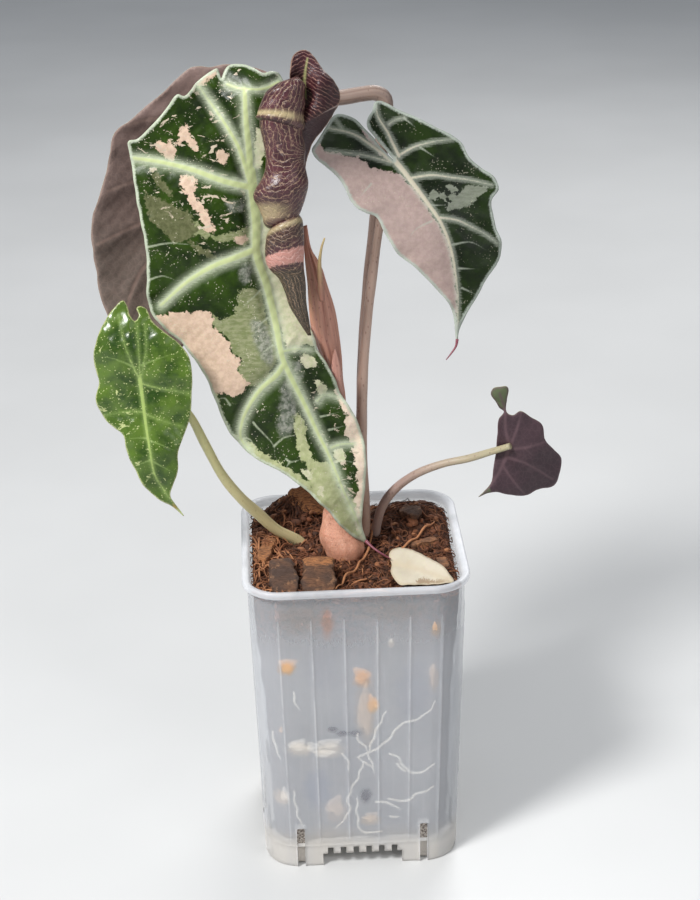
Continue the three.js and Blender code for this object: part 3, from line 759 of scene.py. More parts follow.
LOWER_RIGHT_LEAF = {
    "outline": [
        [504, 411], [499.5, 408], [495, 400], [490.8, 393], [493.3, 388], [500, 386.3], [506, 385.6],
        [508.4, 388], [507, 400], [506.5, 411], [513, 414.5], [520.7, 409.8], [532, 418], [542, 424.5],
        [545, 439.5], [554, 449.5], [562, 459.5], [559, 473], [554, 484.5], [540.5, 489.5],
        [525.7, 495.2], [509, 494.3], [496, 491.5], [487, 493], [478, 497], [484, 491], [491, 482.5],
        [493.3, 468], [495.8, 453], [497.5, 434.5], [499, 418],
    ],
    "depths": [
        [511, 445, -16], [500, 390, -20], [542, 426, -18], [561, 461, -12], [526, 494, -10],
        [480, 495, -13], [496, 450, -12], [530, 455, -17],
    ],
    "veins": [
        ((3.5, 1.5), [[511, 445], [504, 462], [495, 478], [484, 491]]),
        ((2.5, 1.2), [[511, 445], [506, 428], [505, 411], [500, 392]]),
        ((2.5, 1), [[511, 445], [517, 428], [521, 412]]),
        ((2.2, 1), [[510, 448], [528, 446], [545, 441]]),
        ((2.2, 1), [[507, 456], [526, 462], [552, 478]]), ((2, 1), [[503, 465], [512, 478], [524, 493]]),
    ],
    "thin": [[[524, 446], [534, 456], [548, 460]], [[530, 446], [534, 434]]],
    "patches": {
        "grey": [
            [[487, 388], [500, 382], [512, 383], [510, 398], [507, 410], [499, 406]],
            [[474, 501], [482, 488], [489, 487], [490, 495]],
        ],
    },
}

CREAM_LEAF = {
    "outline": [
        [391.5, 562], [389, 556], [390.6, 551.5], [396.4, 547.8], [404, 547.2], [410.5, 548.8],
        [423, 554.6], [435.4, 561.3], [444.5, 567], [450.3, 574.5], [454, 581], [446, 582.6], [427, 584],
        [412, 584.6], [399.7, 584.3], [393.5, 578], [390.5, 570],
    ],
    "depths": [
        [390, 560, -12], [410, 549, -4], [445, 567, -20], [454, 580, -30], [427, 584, -32],
        [400, 584, -32], [420, 567, -20],
    ],
    "veins": [((1.6, 0.8), [[392, 562], [412, 567], [434, 573], [452, 580]])],
    "thin": [
        [[405, 565], [412, 557]], [[408, 566], [412, 578]], [[420, 569], [430, 562]],
        [[422, 570], [430, 581]],
    ],
    "patches": {
        "brown": [[[416, 581], [424, 577], [434, 579], [444, 577], [455, 580], [450, 586], [416, 587]]],
    },
}

HOOD_MIDDLE = 304
HOOD = {
    "outline": [
        [290.5, 84], [290, 74], [290.6, 64], [294, 54.5], [301, 50], [308.5, 50.6], [314.5, 57],
        [320, 64.5], [327, 74], [334.5, 82.5], [338.8, 90], [339.5, 99], [338, 107], [333, 116.5],
        [326, 125.5], [319, 134.5], [312, 146], [307, 158], [304.5, 170], [300, 160], [299, 140],
        [299, 118], [298, 98],
    ],
    "depths": [
        [301, 50, -4], [290, 74, -11], [304, 84, -7.5], [320, 84, -13], [338, 96, -4], [320, 112, -14],
        [306, 121, -12.5], [322, 126, -6], [306, 160, -5], [298, 110, -8],
    ],
    "veins": [((2.4, 0.9), [[304, 98], [303.5, 86], [305, 73], [307.5, 58]])],
    "thin": [[[339, 105], [323, 113], [307, 121]]],
    "patches": {
        "grey": [[[339, 106], [323, 114], [306, 122], [299, 130], [299, 172], [316, 150], [336, 118]]],
    },
}

# Bodies whose outline runs down both sides. A row is its left and right end and its depth.
SLEEVES = {
    "top": [
        [289, 79, 298, 77, -11], [277, 84, 304, 82, -12], [267, 91, 305, 90, -12.5],
        [262, 100, 305, 101, -12.5], [258.5, 109, 304.5, 112, -12.5], [257, 116, 303.5, 124, -12.5],
        [257.3, 119.5, 301, 133, -12],
    ],
    "middle": [
        [262, 112, 301, 122, -12], [259.5, 124, 303, 132, -12], [262.5, 139, 304.5, 143, -12],
        [265.8, 158, 305.2, 158, -12], [263.5, 175, 307, 175, -12.3], [254.5, 191, 308, 189, -12.8],
        [253.6, 198, 305.5, 200, -13], [258, 207, 301, 210, -13], [263.5, 220, 298.5, 216, -12.6],
        [267, 229, 299, 220, -12],
    ],
    "lower": [
        [276, 222, 297, 213, -12.2], [267.5, 233, 302.5, 219, -12.5], [265.6, 243, 303.8, 228, -12.8],
        [265, 254, 303.8, 242, -12.8], [266.5, 264, 304, 256, -12.4], [271, 271, 304.2, 266, -11.8],
        [279, 279, 305, 278, -11.4], [285, 292, 305.6, 292, -11], [290, 306, 306.8, 306, -10.6],
        [297, 318, 308, 318, -10.2], [304, 329, 309.5, 329, -9.6], [308.5, 335.5, 311, 335.5, -9.4],
    ],
}

STEM_ROWS = [
    [327, 503, 349, 503, 4], [323, 514, 354, 514, 3], [320, 528, 358.5, 528, 1.5],
    [320, 541, 363, 541, -0.5], [324, 551, 365, 549, -2.5], [330, 561, 361, 560, -4],
    [338, 571, 354, 571, -5],
]

# The sheaths in the same way, and the spike as a thread, with a place and a depth at each point.
SHEATHS = {
    "main": [
        [303.5, 226, 306.5, 225, -7.5], [303.8, 240, 311, 248, -6.5], [305, 256, 317, 259, -5.5],
        [306.3, 270, 321.5, 268, -4], [307.8, 284, 326.5, 283.8, -2.5], [309.3, 309, 334.5, 309.3, 0.5],
        [312, 332, 338.8, 334.8, 2.6], [320, 354, 341.5, 358, 4.4], [326, 374, 342.6, 378, 5.8],
        [329, 396, 345, 396, 6.6], [328, 440, 347, 440, 7], [329, 485, 350, 485, 5],
        [331, 526, 352, 526, 2],
    ],
    "second": [
        [334.6, 349, 335.6, 349, -2.6], [332.5, 358, 338.5, 358, -2], [331.5, 368, 341, 368, -1.4],
        [332.5, 380, 342.6, 380, -0.6], [335, 392, 344, 392, 0.4], [338, 420, 347, 420, 1.4],
        [339, 450, 348, 450, 1.7],
    ],
    "spike": [
        [322, 300, -6.5], [320, 276, -8.5], [319.6, 262, -10], [321.5, 248, -11.5], [324.6, 238, -12.5],
    ],
}

# Each stalk from its foot to its blade: places and depths, radii in millimetres, and its look.
STALKS = {
    "petiole_front": {
        "line": [
            [340, 535, 6], [334, 495, 12], [314, 430, 15], [292, 340, 15], [268, 250, 14], [256, 190, 9],
            [252, 181, 5],
        ],
        "radii": [2.6, 2.0, 1.6],
        "kind": "pink",
    },
    "petiole_right": {
        "line": [
            [361, 552, 7], [364.5, 520, 8], [362, 470, 9], [361.5, 420, 9.5], [362.8, 373, 10],
            [367, 322, 11], [373, 271, 12], [380, 222, 13], [388.5, 180, 13], [394.5, 162, 10],
        ],
        "radii": [2.5, 2.1, 1.8, 1.5],
        "kind": "rose",
    },
    "petiole_back": {
        "line": [
            [354, 548, 12], [358, 500, 14], [361, 440, 17], [364, 330, 21], [374, 220, 24],
            [381, 150, 26], [385, 112, 27], [384, 98, 27], [376, 93, 26.5], [362, 94, 26], [345, 97, 25],
            [330, 99, 24], [300, 106, 24], [262, 116, 26], [234, 134, 29],
        ],
        "radii": [3, 2.4, 2.1, 1.9, 1.8, 3.0, 2.6, 2.2],
        "kind": "brown",
    },
    "petiole_lower_left": {
        "line": [
            [308, 550, 8], [298, 541, 8], [277, 530, 5], [258, 513.5, 2], [240.5, 497.5, -2],
            [222.5, 475.5, -5], [205, 444, -8.5], [190, 416, -11], [176, 401, -11], [158, 390, -10.5],
            [143, 384, -12.6],
        ],
        "radii": [2.3, 2.1, 1.7, 1.35],
        "kind": "pale",
    },
    "petiole_lower_right": {
        "line": [
            [369, 552, 9], [374, 540, 9], [377, 523, 8], [382.5, 506, 6], [390.5, 494, 4], [402, 483, 1],
            [420, 472, -3], [444, 463.5, -6], [468, 458.5, -9], [490, 452, -13], [510, 446, -18],
        ],
        "radii": [2.0, 1.7, 1.5, 1.2],
        "kind": "bronze",
    },
}

FAR_AWAY = 60.0  # pixels, more than any vein or patch reaches
LINE_STEP = 3.0
BLADE_THICKNESS = 0.55


def leaf_field(points, spec, outline):
    """What the materials need to know about each point of a blade, in millimetres."""
    vein = np.full(len(points), FAR_AWAY)
    for (start, end), line in spec["veins"]:
        away, place = distance_along(points, smooth_line(line, LINE_STEP))
        vein = np.minimum(vein, away - (start + (end - start) * place) / 2)
    thin = np.full(len(points), FAR_AWAY)
    for line in spec["thin"]:
        away, place = distance_along(points, smooth_line(line, LINE_STEP))
        thin = np.minimum(thin, away + 1.2 * place)
    edge, _ = distance_along(points, outline, closed=True)
    values = {"vein": vein * PIXEL, "thin": thin * PIXEL, "edge": edge * PIXEL}
    for key in (*PATCH_COLOURS, "mottle", "brown"):
        nearest = np.full(len(points), FAR_AWAY)
        for patch in spec["patches"].get(key, []):
            ring = smooth_line(patch, LINE_STEP, closed=True)
            away, _ = distance_along(points, ring, closed=True)
            nearest = np.minimum(nearest, np.where(inside(points, ring), -away, away))
        values[key] = nearest * PIXEL
    values["flat"] = np.column_stack([points * PIXEL, np.zeros(len(points))])
    return values


def blade_grid(outline, grid):
    """Points on the outline and inside it, the triangles between them, and the border's points in order."""
    low = outline.min(0)
    high = outline.max(0)
    xs = np.arange(low[0], high[0], grid)
    ys = np.arange(low[1], high[1], grid * 0.866)
    lattice = np.stack(np.meshgrid(xs, ys), axis=-1)
    lattice[1::2, :, 0] += grid / 2
    lattice = lattice.reshape(-1, 2)
    lattice = lattice[inside(lattice, outline)]
    away, _ = distance_along(lattice, outline[::2], closed=True)
    flat = np.concatenate([outline, lattice[away > grid * 0.6]])
    count = len(outline)
    made = delaunay_2d_cdt([Vector(p) for p in flat], [], [list(range(count))], 1, 1e-5)
    flat = np.array([tuple(v) for v in made[0]])
    faces = np.array([f for f in made[2] if len(f) == 3])
    rank = {o: i for i, originals in enumerate(made[3]) for o in originals if o < count}
    return flat, faces, [rank[i] for i in range(count)]


def blade_sheet(flat, depths):
    """The blade's smooth sheet in space, and its normals."""
    plate = thin_plate(depths)
    step = 0.5
    points = seen(flat[:, 0], flat[:, 1], plate(flat))
    across = seen(flat[:, 0] + step, flat[:, 1], plate(flat + [step, 0])) - points
    down = seen(flat[:, 0], flat[:, 1] + step, plate(flat + [0, step])) - points
    normal = np.cross(down, across)
    return points, normal / np.linalg.norm(normal, axis=1)[:, None]


def blade_relief(flat, values, valley, rib, wave, ripple):
    """How far each point stands out of the sheet: valleys with ribs at the veins, waves and ripples."""
    x, y = flat[:, 0] * PIXEL, flat[:, 1] * PIXEL
    outside = np.maximum(values["vein"], 0)
    inner = np.clip(-values["vein"], 0, 2)
    lift = -valley * np.exp(-(outside / 3.2) ** 2) + rib * np.sqrt(inner / 2) * 1.6
    lift -= 0.12 * valley * np.exp(-(np.maximum(values["thin"], 0) / 0.5) ** 2)
    curl = np.sin(x * 0.33 + 1.3) * np.cos(y * 0.29) + 0.5 * np.sin(y * 0.71 + x * 0.2)
    lift += wave * np.exp(-values["edge"] / 5) * curl
    return lift + ripple * np.sin(x * 1.3 + 0.6 * np.sin(y * 0.9)) * np.cos(y * 1.1 + 0.4 * np.sin(x))


def blade_rim(points, border):
    """The narrow faces between a blade's two sides, pointing away from its middle."""
    n = len(points) // 2
    rim = []
    for p, q in zip(border, border[1:] + border[:1]):
        rim += [(p, q, q + n), (p, q + n, p + n)]
    rim = np.array(rim)
    a, b, c = (points[rim[:, k]] for k in range(3))
    outwards = (np.cross(b - a, c - a) * (a - points.mean(0))).sum()
    return rim[:, ::-1] if outwards < 0 else rim


def make_leaf(
    name, spec, materials, slot, *, spacing=0.6, valley=0.9, rib=0.3, wave=0.5, ripple=0.10, under_front=False
):
    """A blade: a sheet with its veins in relief, bent through the given depths, and a thin closed body."""
    grid = spacing / PIXEL
    outline = smooth_line(spec["outline"], grid, closed=True)
    flat, faces, border = blade_grid(outline, grid)
    values = leaf_field(flat, spec, outline)
    points, normal = blade_sheet(flat, spec["depths"])
    lift = blade_relief(flat, values, valley, rib, wave, ripple)
    if under_front:
        lift = -lift
    half = BLADE_THICKNESS * np.clip(values["edge"] / 1.2, 0.25, 1) / 2
    both = np.concatenate([points + normal * reach[:, None] for reach in (lift + half, lift - half)])

    # The front triangles face the camera's side of the sheet.
    a, b, c = (points[faces[:, k]] for k in range(3))
    turned = (np.cross(b - a, c - a) * normal[faces[:, 0]]).sum(1) < 0
    faces[turned] = faces[turned][:, ::-1]
    rim = blade_rim(both, border)
    sides = (1, 0) if under_front else (0, 1)
    face_material = np.repeat([*sides, 0], [len(faces), len(faces), len(rim)])
    piece = add_mesh(name, both, np.concatenate([faces, faces[:, ::-1] + len(points), rim]), materials,
                     face_material, {key: np.concatenate([v, v]) for key, v in values.items()})
    return finish_piece(piece, slot, name)


# The looks of the leaves.
GREEN = {
    "dark": (0.006, 0.015, 0.001), "light": (0.024, 0.052, 0.002), "vein": (0.50, 0.55, 0.39),
    "margin": (0.50, 0.55, 0.42), "rough": 0.36, "coat": 0.02, "freckle": 0.9, "vein_soft": 0.35,
    "margin_width": 1.5,
}
FRONT_GREEN = {**GREEN, "mottle": (0.52, 0.44, 0.33)}
BACK_GREEN = {**GREEN, "halo_width": 1.8, "halo_share": 0.25}
RIGHT_GREEN = {
    **GREEN, "dark": (0.003, 0.007, 0.001), "light": (0.012, 0.026, 0.002), "vein": (0.40, 0.43, 0.35),
    "margin": (0.40, 0.44, 0.38), "core": (0.56, 0.50, 0.38), "core_depth": 0.7, "freckle": 0.4,
    "halo_width": 1.2, "halo_share": 0.2, "vein_soft": 0.2,
    "patches": {
        "pink": ((0.43, 0.32, 0.285), (0.38, 0.28, 0.25)),
        "grey": ((0.205, 0.220, 0.170), (0.155, 0.170, 0.125)),
    },
}
FRESH_GREEN = {
    "dark": (0.020, 0.050, 0.006), "light": (0.090, 0.155, 0.020), "vein": (0.26, 0.36, 0.11),
    "margin": (0.42, 0.46, 0.20), "core": (0.34, 0.44, 0.13), "core_depth": 0.45, "rough": 0.24,
    "coat": 0.35, "freckle": 0.9, "freckles_from": 0.36, "fleck": (0.50, 0.53, 0.24),
    "mottle": (0.42, 0.46, 0.20), "dried": (0.42, 0.22, 0.06), "vein_soft": 0.25, "margin_width": 0.5,
    # the duller green tones for painted reflection patches, should a blade have them
    "halo_width": 1.0, "halo_share": 0.12, "patches": {"painted_sheen": ((0.14, 0.19, 0.08), (0.10, 0.15, 0.05))},
}
CREAM = {
    "dark": (0.50, 0.44, 0.33), "light": (0.58, 0.52, 0.40), "vein": (0.54, 0.46, 0.33),
    "margin": (0.50, 0.42, 0.30), "rough": 0.5, "dried": (0.24, 0.14, 0.06),
}
PURPLE = {"base": (0.215, 0.150, 0.127), "deep": (0.142, 0.096, 0.082), "vein": (0.29, 0.20, 0.165)}
CROWNED_PURPLE = {**PURPLE, "crown": (0.245, 0.165, 0.145)}
DARK_PURPLE = {
    "base": (0.055, 0.026, 0.034), "deep": (0.034, 0.014, 0.021), "vein": (0.11, 0.06, 0.07),
    "green": (0.09, 0.115, 0.05),
}
FRESH_UNDER = {"base": (0.20, 0.29, 0.11), "deep": (0.15, 0.23, 0.08), "vein": (0.34, 0.42, 0.2)}
CREAM_UNDER = {"base": (0.70, 0.60, 0.47), "deep": (0.66, 0.55, 0.42), "vein": (0.74, 0.64, 0.5)}
HOOD_UNDER = {"base": (0.13, 0.075, 0.09), "deep": (0.08, 0.04, 0.05), "vein": (0.24, 0.14, 0.13)}


def add_leaf(name, look, spec, upper, under, slot, **relief):
    materials = [leaf_upper(look + "_leaf_upper", **upper), leaf_under(look + "_leaf_under", **under)]
    make_leaf(name, spec, materials, slot, **relief)


def add_leaves():
    add_leaf("leaf_front", "front", FRONT_LEAF, FRONT_GREEN, PURPLE, "leaf_variegated", valley=1.3, rib=0.2)
    add_leaf("leaf_right", "right", RIGHT_LEAF, RIGHT_GREEN, PURPLE, "leaf_variegated",
             valley=0.6, ripple=0.04)
    add_leaf("leaf_back", "back", BACK_LEAF, BACK_GREEN, CROWNED_PURPLE, "leaf_purple_under",
             spacing=0.9, valley=0.8, under_front=True)
    add_leaf("leaf_lower_left", "lower_left", LOWER_LEFT_LEAF, FRESH_GREEN, FRESH_UNDER, "leaf_fresh",
             valley=0.8, rib=0.12)
    add_leaf("leaf_lower_right", "lower_right", LOWER_RIGHT_LEAF, FRESH_GREEN, DARK_PURPLE,
             "leaf_purple_under", valley=0.5, rib=0.1, under_front=True)
    add_leaf("leaf_small_cream", "cream", CREAM_LEAF, CREAM, CREAM_UNDER, "leaf_cream",
             spacing=0.5, valley=0.6, rib=0.05, wave=0.45)


# Columns and tubes
def close_rings(rings, count):
    """Faces of a body made of rings of points, with a fan over each end; the fans' middles come last."""
    rows = len(rings)
    base = np.arange(count)
    after = (base + 1) % count
    faces = []
    for r in range(rows - 1):
        a, b = r * count, (r + 1) * count
        faces += [(a + i, a + j, b + j, b + i) for i, j in zip(base, after)]
    first, last = rows * count, rows * count + 1
    faces += [(first, j, i) for i, j in zip(base, after)]
    end = (rows - 1) * count
    faces += [(last, end + i, end + j) for i, j in zip(base, after)]
    return faces


def capped(rings):
    """The points of the rings, and then the middles of the first and the last."""
    return np.concatenate([*rings, rings[0].mean(0)[None], rings[-1].mean(0)[None]])


def circle(count):
    return np.linspace(0, 2 * math.pi, count, endpoint=False)


def seen_line(places):
    """The points that the photograph shows at a list of [px, py, depth]."""
    return seen(*np.array(places, float).T)


def make_column(name, rows, materials, *, steps=60, sides=40, depth_share=0.85, shape=None, values=None):
    """A body whose outline in the photograph runs down both sides.

    A row is its left and right end and its depth: [px, py, px, py, depth].
    shape(around, down) pushes the surface out by millimetres.
    values(around, down) gives the materials' values.
    """
    rows = np.asarray(rows, float)
    dense = smooth_line(np.column_stack([rows, np.arange(len(rows)) * 0.01]), 1.0)
    at = np.linspace(0, len(dense) - 1, steps)
    dense = np.stack([np.interp(at, np.arange(len(dense)), dense[:, k]) for k in range(5)], axis=1)
    left = seen(dense[:, 0], dense[:, 1], dense[:, 4])
    right = seen(dense[:, 2], dense[:, 3], dense[:, 4])
    middle = (left + right) / 2
    half = (right - left) / 2
    size = np.linalg.norm(half, axis=1)
    around = np.tile(circle(sides), (steps, 1))
    down = np.tile(np.linspace(0, 1, steps)[:, None], (1, sides))
    push = shape(around, down) if shape else np.zeros_like(around)
    scale = 1 + push / np.maximum(size[:, None], 0.3)
    points = (
        middle[:, None]
        + half[:, None] * (np.cos(around) * scale)[..., None]
        + BACK * (np.sin(around) * scale * size[:, None] * depth_share)[..., None]
    )
    points = np.concatenate([points.reshape(-1, 3), middle[:1], middle[-1:]])
    facts = {"around": around, "down": down, "across": np.cos(around)}
    if values:
        facts.update(values(around, down))
    flat = {key: np.concatenate([v.ravel(), [0, 0]]) for key, v in facts.items()}
    flat["down"][-1] = 1.0
    faces = close_rings(range(steps), sides)
    a, b, c = points[sides], points[0], points[1]
    outwards = np.cross(b - a, c - a) @ (points[0] - middle[0])
    if outwards < 0:
        faces = [f[::-1] for f in faces]
    return add_mesh(name, points, faces, materials, values=flat)


def tube_points(line, radii, sides):
    """Rings round a line, all turned alike along it."""
    line = np.asarray(line, float)
    radii = np.interp(np.linspace(0, 1, len(line)), np.linspace(0, 1, len(radii)), radii)
    along = np.gradient(line, axis=0)
    along /= np.maximum(np.linalg.norm(along, axis=1), 1e-9)[:, None]
    side = np.cross(along[0], [0.3, 0.9, 0.2])
    rings = []
    turn = circle(sides)[:, None]
    for centre, way, radius in zip(line, along, radii):
        side = side - way * (side @ way)
        side /= np.linalg.norm(side)
        other = np.cross(way, side)
        rings.append(centre + radius * (np.cos(turn) * side + np.sin(turn) * other))
    return np.concatenate([*rings, line[:1], line[-1:]])


def make_tube(name, line, radii, materials, sides=18, spacing=1.2, lumps=0.0, tint=None):
    line = smooth_line(line, spacing)
    points = tube_points(line, radii, sides)
    if lumps:
        ring = np.repeat(np.arange(len(line)), sides)
        centre = line[ring]
        swell = 1 + lumps * np.sin(ring * spacing * 0.23 + 1) * np.sin(ring * spacing * 0.071)
        points[:-2] = centre + (points[:-2] - centre) * swell[:, None]
    down = np.concatenate([np.repeat(np.linspace(0, 1, len(line)), sides), [0, 1]])
    around = np.concatenate([np.tile(circle(sides), len(line)), [0, 0]])
    values = {"down": down, "around": around}
    if tint is not None:
        values["tint"] = np.full(len(points), tint)
    return add_mesh(name, points, close_rings(line, sides), materials, values=values)


# New leaf
def lined_maroon(s, line, one, two, fade, patchy):
    """Maroon in two tones, the share of it that fine broken lines cover, and the ripple that they follow."""
    ripple = s.math("PINGPONG", line, 0.5)
    base = s.tint(one, two, s.noise(0.25, 4, 0.6), 0.35, 0.65)
    faint = s.times(s.blend(ripple, 0.11, 0.03), s.blend(s.noise(patchy, 3, 0.6), 0.3, 0.6, *fade))
    return base, faint, ripple


def new_leaf_material():
    """Maroon with fine pale lines; some bands are pink or olive, and the yellowish bands are partly the
    leaf's own colour and partly painted highlight.
    """
    s = Shader("new_leaf")
    line = s.add(s.value("line"), s.times(s.centred(s.noise(0.30, 5, 0.65)), 2.6))
    tones = (0.080, 0.021, 0.027), (0.040, 0.010, 0.014)
    base, faint, ripple = lined_maroon(s, line, *tones, fade=(0.25, 0.8), patchy=0.45)
    base = s.mix(s.value("olive"), base, (0.034, 0.028, 0.012))
    torn = s.times(s.centred(s.noise(0.9, 4, 0.6, s.stretch(1.6, 1.6, 0.5))), 1.6)
    rosy = s.blend(s.add(s.value("rosy"), torn), 0.25, 0.75)
    base = s.mix(s.times(rosy, 0.8), base, (0.66, 0.31, 0.25))
    pale = s.mix(s.value("pale"), (0.42, 0.28, 0.18), (0.60, 0.54, 0.30))
    pale = s.mix(rosy, pale, (0.85, 0.52, 0.45))
    base = s.tint(base, pale, s.cells(0.42, feature="DISTANCE_TO_EDGE"), 0.05, 0.015, 0.25)
    base = s.mix(faint, base, pale)
    # painted highlight over the yellowish band, which is partly the leaf's own colour
    base = s.mix(s.math("MULTIPLY", s.value("pale"), 1.1, clamp=True), base, (0.62, 0.50, 0.27))
    base = s.mix(s.value("rim"), base, (0.030, 0.010, 0.012))
    s.bump(s.shake(s.blend(ripple, 0.0, 0.25), s.noise(1.2, 4, 0.6), 0.6), 0.5, 0.5)
    return s.set(Base_Color=base, Roughness=0.34, Coat_Weight=0.15, Coat_Roughness=0.25)


def hood_material():
    """The hood's outer face: maroon with slanting lines, and its dull inner face where it turns over."""
    s = Shader("new_leaf_hood")
    flat = s.vector("flat")
    across, down, _ = s.axes(flat)
    wobble = s.times(s.centred(s.noise(0.3, 5, 0.65, flat)), 3.6)
    lean = s.times(s.math("ABSOLUTE", s.math("SUBTRACT", across, HOOD_MIDDLE * PIXEL)), -0.55)
    line = s.times(s.add(s.add(down, lean), wobble), 0.62)
    tones = (0.055, 0.014, 0.018), (0.026, 0.007, 0.009)
    base, faint, ripple = lined_maroon(s, line, *tones, fade=(0.15, 0.7), patchy=0.5)
    lines = s.mix(faint, base, (0.42, 0.22, 0.17))
    inner = s.mix(s.noise(0.5, 4, 0.6, flat), (0.066, 0.036, 0.040), (0.036, 0.018, 0.022))
    base = s.tint(lines, inner, s.value("grey"), 0.5, -0.5)
    base = s.tint(base, (0.50, 0.40, 0.36), s.value("thin"), 0.55, 0.1, 0.85)
    base = s.tint(base, (0.36, 0.36, 0.15), s.value("vein"), 0.5, -0.4)
    base = s.tint(base, (0.32, 0.20, 0.14), s.value("edge"), 0.5, 0.1, 0.75)
    s.bump(s.add(s.blend(ripple, 0, 0.25), s.noise(1.4, 4, 0.6)), 0.4, 0.4)
    return s.set(Base_Color=base, Roughness=0.40, Specular_IOR_Level=0.35)


def band(at, start, end, soft=0.03):
    """One between start and end, zero away from them."""
    rise = np.clip((at - start) / soft, 0, 1)
    fall = np.clip((end - at) / soft, 0, 1)
    return rise * rise * (3 - 2 * rise) * fall * fall * (3 - 2 * fall)


def lip(down, start, size):
    """The curled edge that a sleeve ends in."""
    t = np.clip((down - start) / (1 - start), 0, 1)
    return size * np.sin(math.pi * np.minimum(t * 1.15, 1)) - 1.6 * size * np.clip(t - 0.8, 0, 1) * 5


def crinkle(around, down, size):
    return size * np.sin(down * 21 + 2 * np.cos(around)) * (0.5 + 0.5 * np.sin(around * 3 + 1))


# The rolled leaf's three sleeves: how each is shaped, and where its lines and bands are. The pale bands are
# partly the leaf's own yellowish colour and partly painted highlight, fading towards the right side.
def top_shape(around, down):
    return crinkle(around, down, 0.2) + lip(down, 0.86, 0.55)


def top_values(around, down):
    return {
        "line": around * 3.6 + 0.8 * np.sin(down * 5),
        "pale": 0.75 * band(down, 0.72, 0.93, 0.12) * (0.4 + 0.6 * (np.cos(around) < 0.6)),
        "rim": 0.8 * band(down, 0.955, 1.05, 0.02),
    }


def middle_shape(around, down):
    return crinkle(around, down, 0.25) + lip(down, 0.92, 0.4)


def middle_values(around, down):
    across = np.cos(around)
    arches = down * 17 + 3.2 * (across + 0.15) ** 2
    share = np.clip((down - 0.25) / 0.18, 0, 1)
    return {
        "line": around * 3.4 * (1 - share) + arches * share,
        "pale": 0.45 * band(down, 0.78, 0.99, 0.08) * np.clip(0.75 - across, 0, 1),
        "rim": 0.6 * band(down, 0.985, 1.05, 0.01),
    }


def lower_shape(around, down):
    return crinkle(around, down, 0.15) + 0.28 * np.sin(around * 9) * np.clip(down - 0.45, 0, 0.3) * 3


def lower_values(around, down):
    arches = down * 22 + 2.5 * (np.cos(around) - 0.2) ** 2
    return {
        "line": np.where(down < 0.5, arches, around * 3 + down * 3),
        "rosy": band(down, 0.27, 0.43, 0.05),
        "olive": 0.85 * band(down, 0.42, 1.2, 0.06) + 0.5 * band(down, 0.06, 0.26, 0.05),
        "pale": 0.45 * band(down, 0.05, 0.14, 0.04),
    }


def add_new_leaf():
    material = new_leaf_material()
    add_sleeve("top", material, top_shape, top_values)
    add_sleeve("middle", material, middle_shape, middle_values, "leaf_new_rolled")
    add_sleeve("lower", material, lower_shape, lower_values)
    materials = [hood_material(), leaf_under("new_leaf_hood_under", **HOOD_UNDER)]
    make_leaf("leaf_new_hood", HOOD, materials, "new_leaf", spacing=0.45, valley=0.7, rib=0.1, wave=0.35)


def add_sleeve(place, material, shape, values, *nodes):
    """One of the rolled leaf's three sleeves; a band that it doesn't have is zero all over."""
    def all_values(around, down):
        bands = {key: np.zeros_like(around) for key in ("pale", "rosy", "olive", "rim")}
        return {**bands, **values(around, down)}

    piece = make_column("new_leaf_" + place, SLEEVES[place], [material], steps=90, sides=72, shape=shape,
                        values=all_values)
    finish_piece(piece, "new_leaf", *nodes)


# Stalks, sheaths and stem
def stalk_material(name, low, high, speck, rough=0.42, streaks=0.5, change=(0.0, 0.85)):
    """A stalk: its colour runs from low at its foot to high at its tip, streaked along and finely specked."""
    s = Shader(name)
    around, down = s.value("around"), s.value("down")
    base = s.tint(low, high, down, *change)
    turned = s.node("ShaderNodeCombineXYZ")
    s.put(turned.inputs[0], s.math("SINE", around))
    s.put(turned.inputs[1], s.math("COSINE", around))
    s.put(turned.inputs[2], s.times(down, 1.3))
    streak = s.noise(3.2, 4, 0.6, turned.outputs[0])
    base = s.tint(base, speck, streak, 0.42, 0.72, streaks)
    dots = s.blend(s.cells(0.75, s.stretch(1, 1, 0.55)), 0.30, 0.16)
    base = s.mix(s.times(dots, s.blend(s.noise(0.5), 0.4, 0.6, 0, 0.7)), base, speck)
    s.bump(s.add(streak, s.noise(1.8, 3, 0.6, s.stretch(1, 1, 0.3))), 0.25, 0.3)
    return s.set(Base_Color=base, Roughness=rough, **flesh(0.1, 1.0, 0.5, 0.3))


# Each look's colour at the foot, at the tip and in the specks.
STALK_COLOURS = {
    "pink": ((0.33, 0.20, 0.16), (0.44, 0.31, 0.26), (0.16, 0.07, 0.06)),
    "brown": ((0.30, 0.20, 0.16), (0.30, 0.22, 0.18), (0.15, 0.09, 0.07)),
    "pale": ((0.58, 0.50, 0.27), (0.54, 0.51, 0.24), (0.38, 0.30, 0.15)),
    "rose": ((0.44, 0.29, 0.22), (0.55, 0.39, 0.31), (0.26, 0.14, 0.11)),
    "bronze": ((0.37, 0.26, 0.22), (0.43, 0.39, 0.24), (0.22, 0.14, 0.12)),
}
STALK_STREAKS = {"pale": 0.25, "rose": 0.3, "bronze": 0.3}
STALK_CHANGE = {"bronze": (0.4, 1.0)}


def add_stalks():
    kinds = {}
    for kind, colours in STALK_COLOURS.items():
        kinds[kind] = stalk_material("stalk_" + kind, *colours, streaks=STALK_STREAKS.get(kind, 0.5),
                                     change=STALK_CHANGE.get(kind, (0.0, 0.85)))
    for name, stalk in STALKS.items():
        slot = "stalk_pale" if stalk["kind"] in ("pale", "bronze") else "stalk_pink"
        piece = make_tube(name, seen_line(stalk["line"]), stalk["radii"], [kinds[stalk["kind"]]], lumps=0.05)
        finish_piece(piece, slot, name)


# The drawn-out tips of two leaves: places and depths along each.
FRONT_DRIP = [[366, 541, -6.5], [371, 546, -8.5], [379, 552, -11], [391, 559, -12.5]]
RIGHT_DRIP = [[457.3, 339, -6], [456, 346, -6.8], [451.5, 353, -7.6], [446, 360, -8.6]]


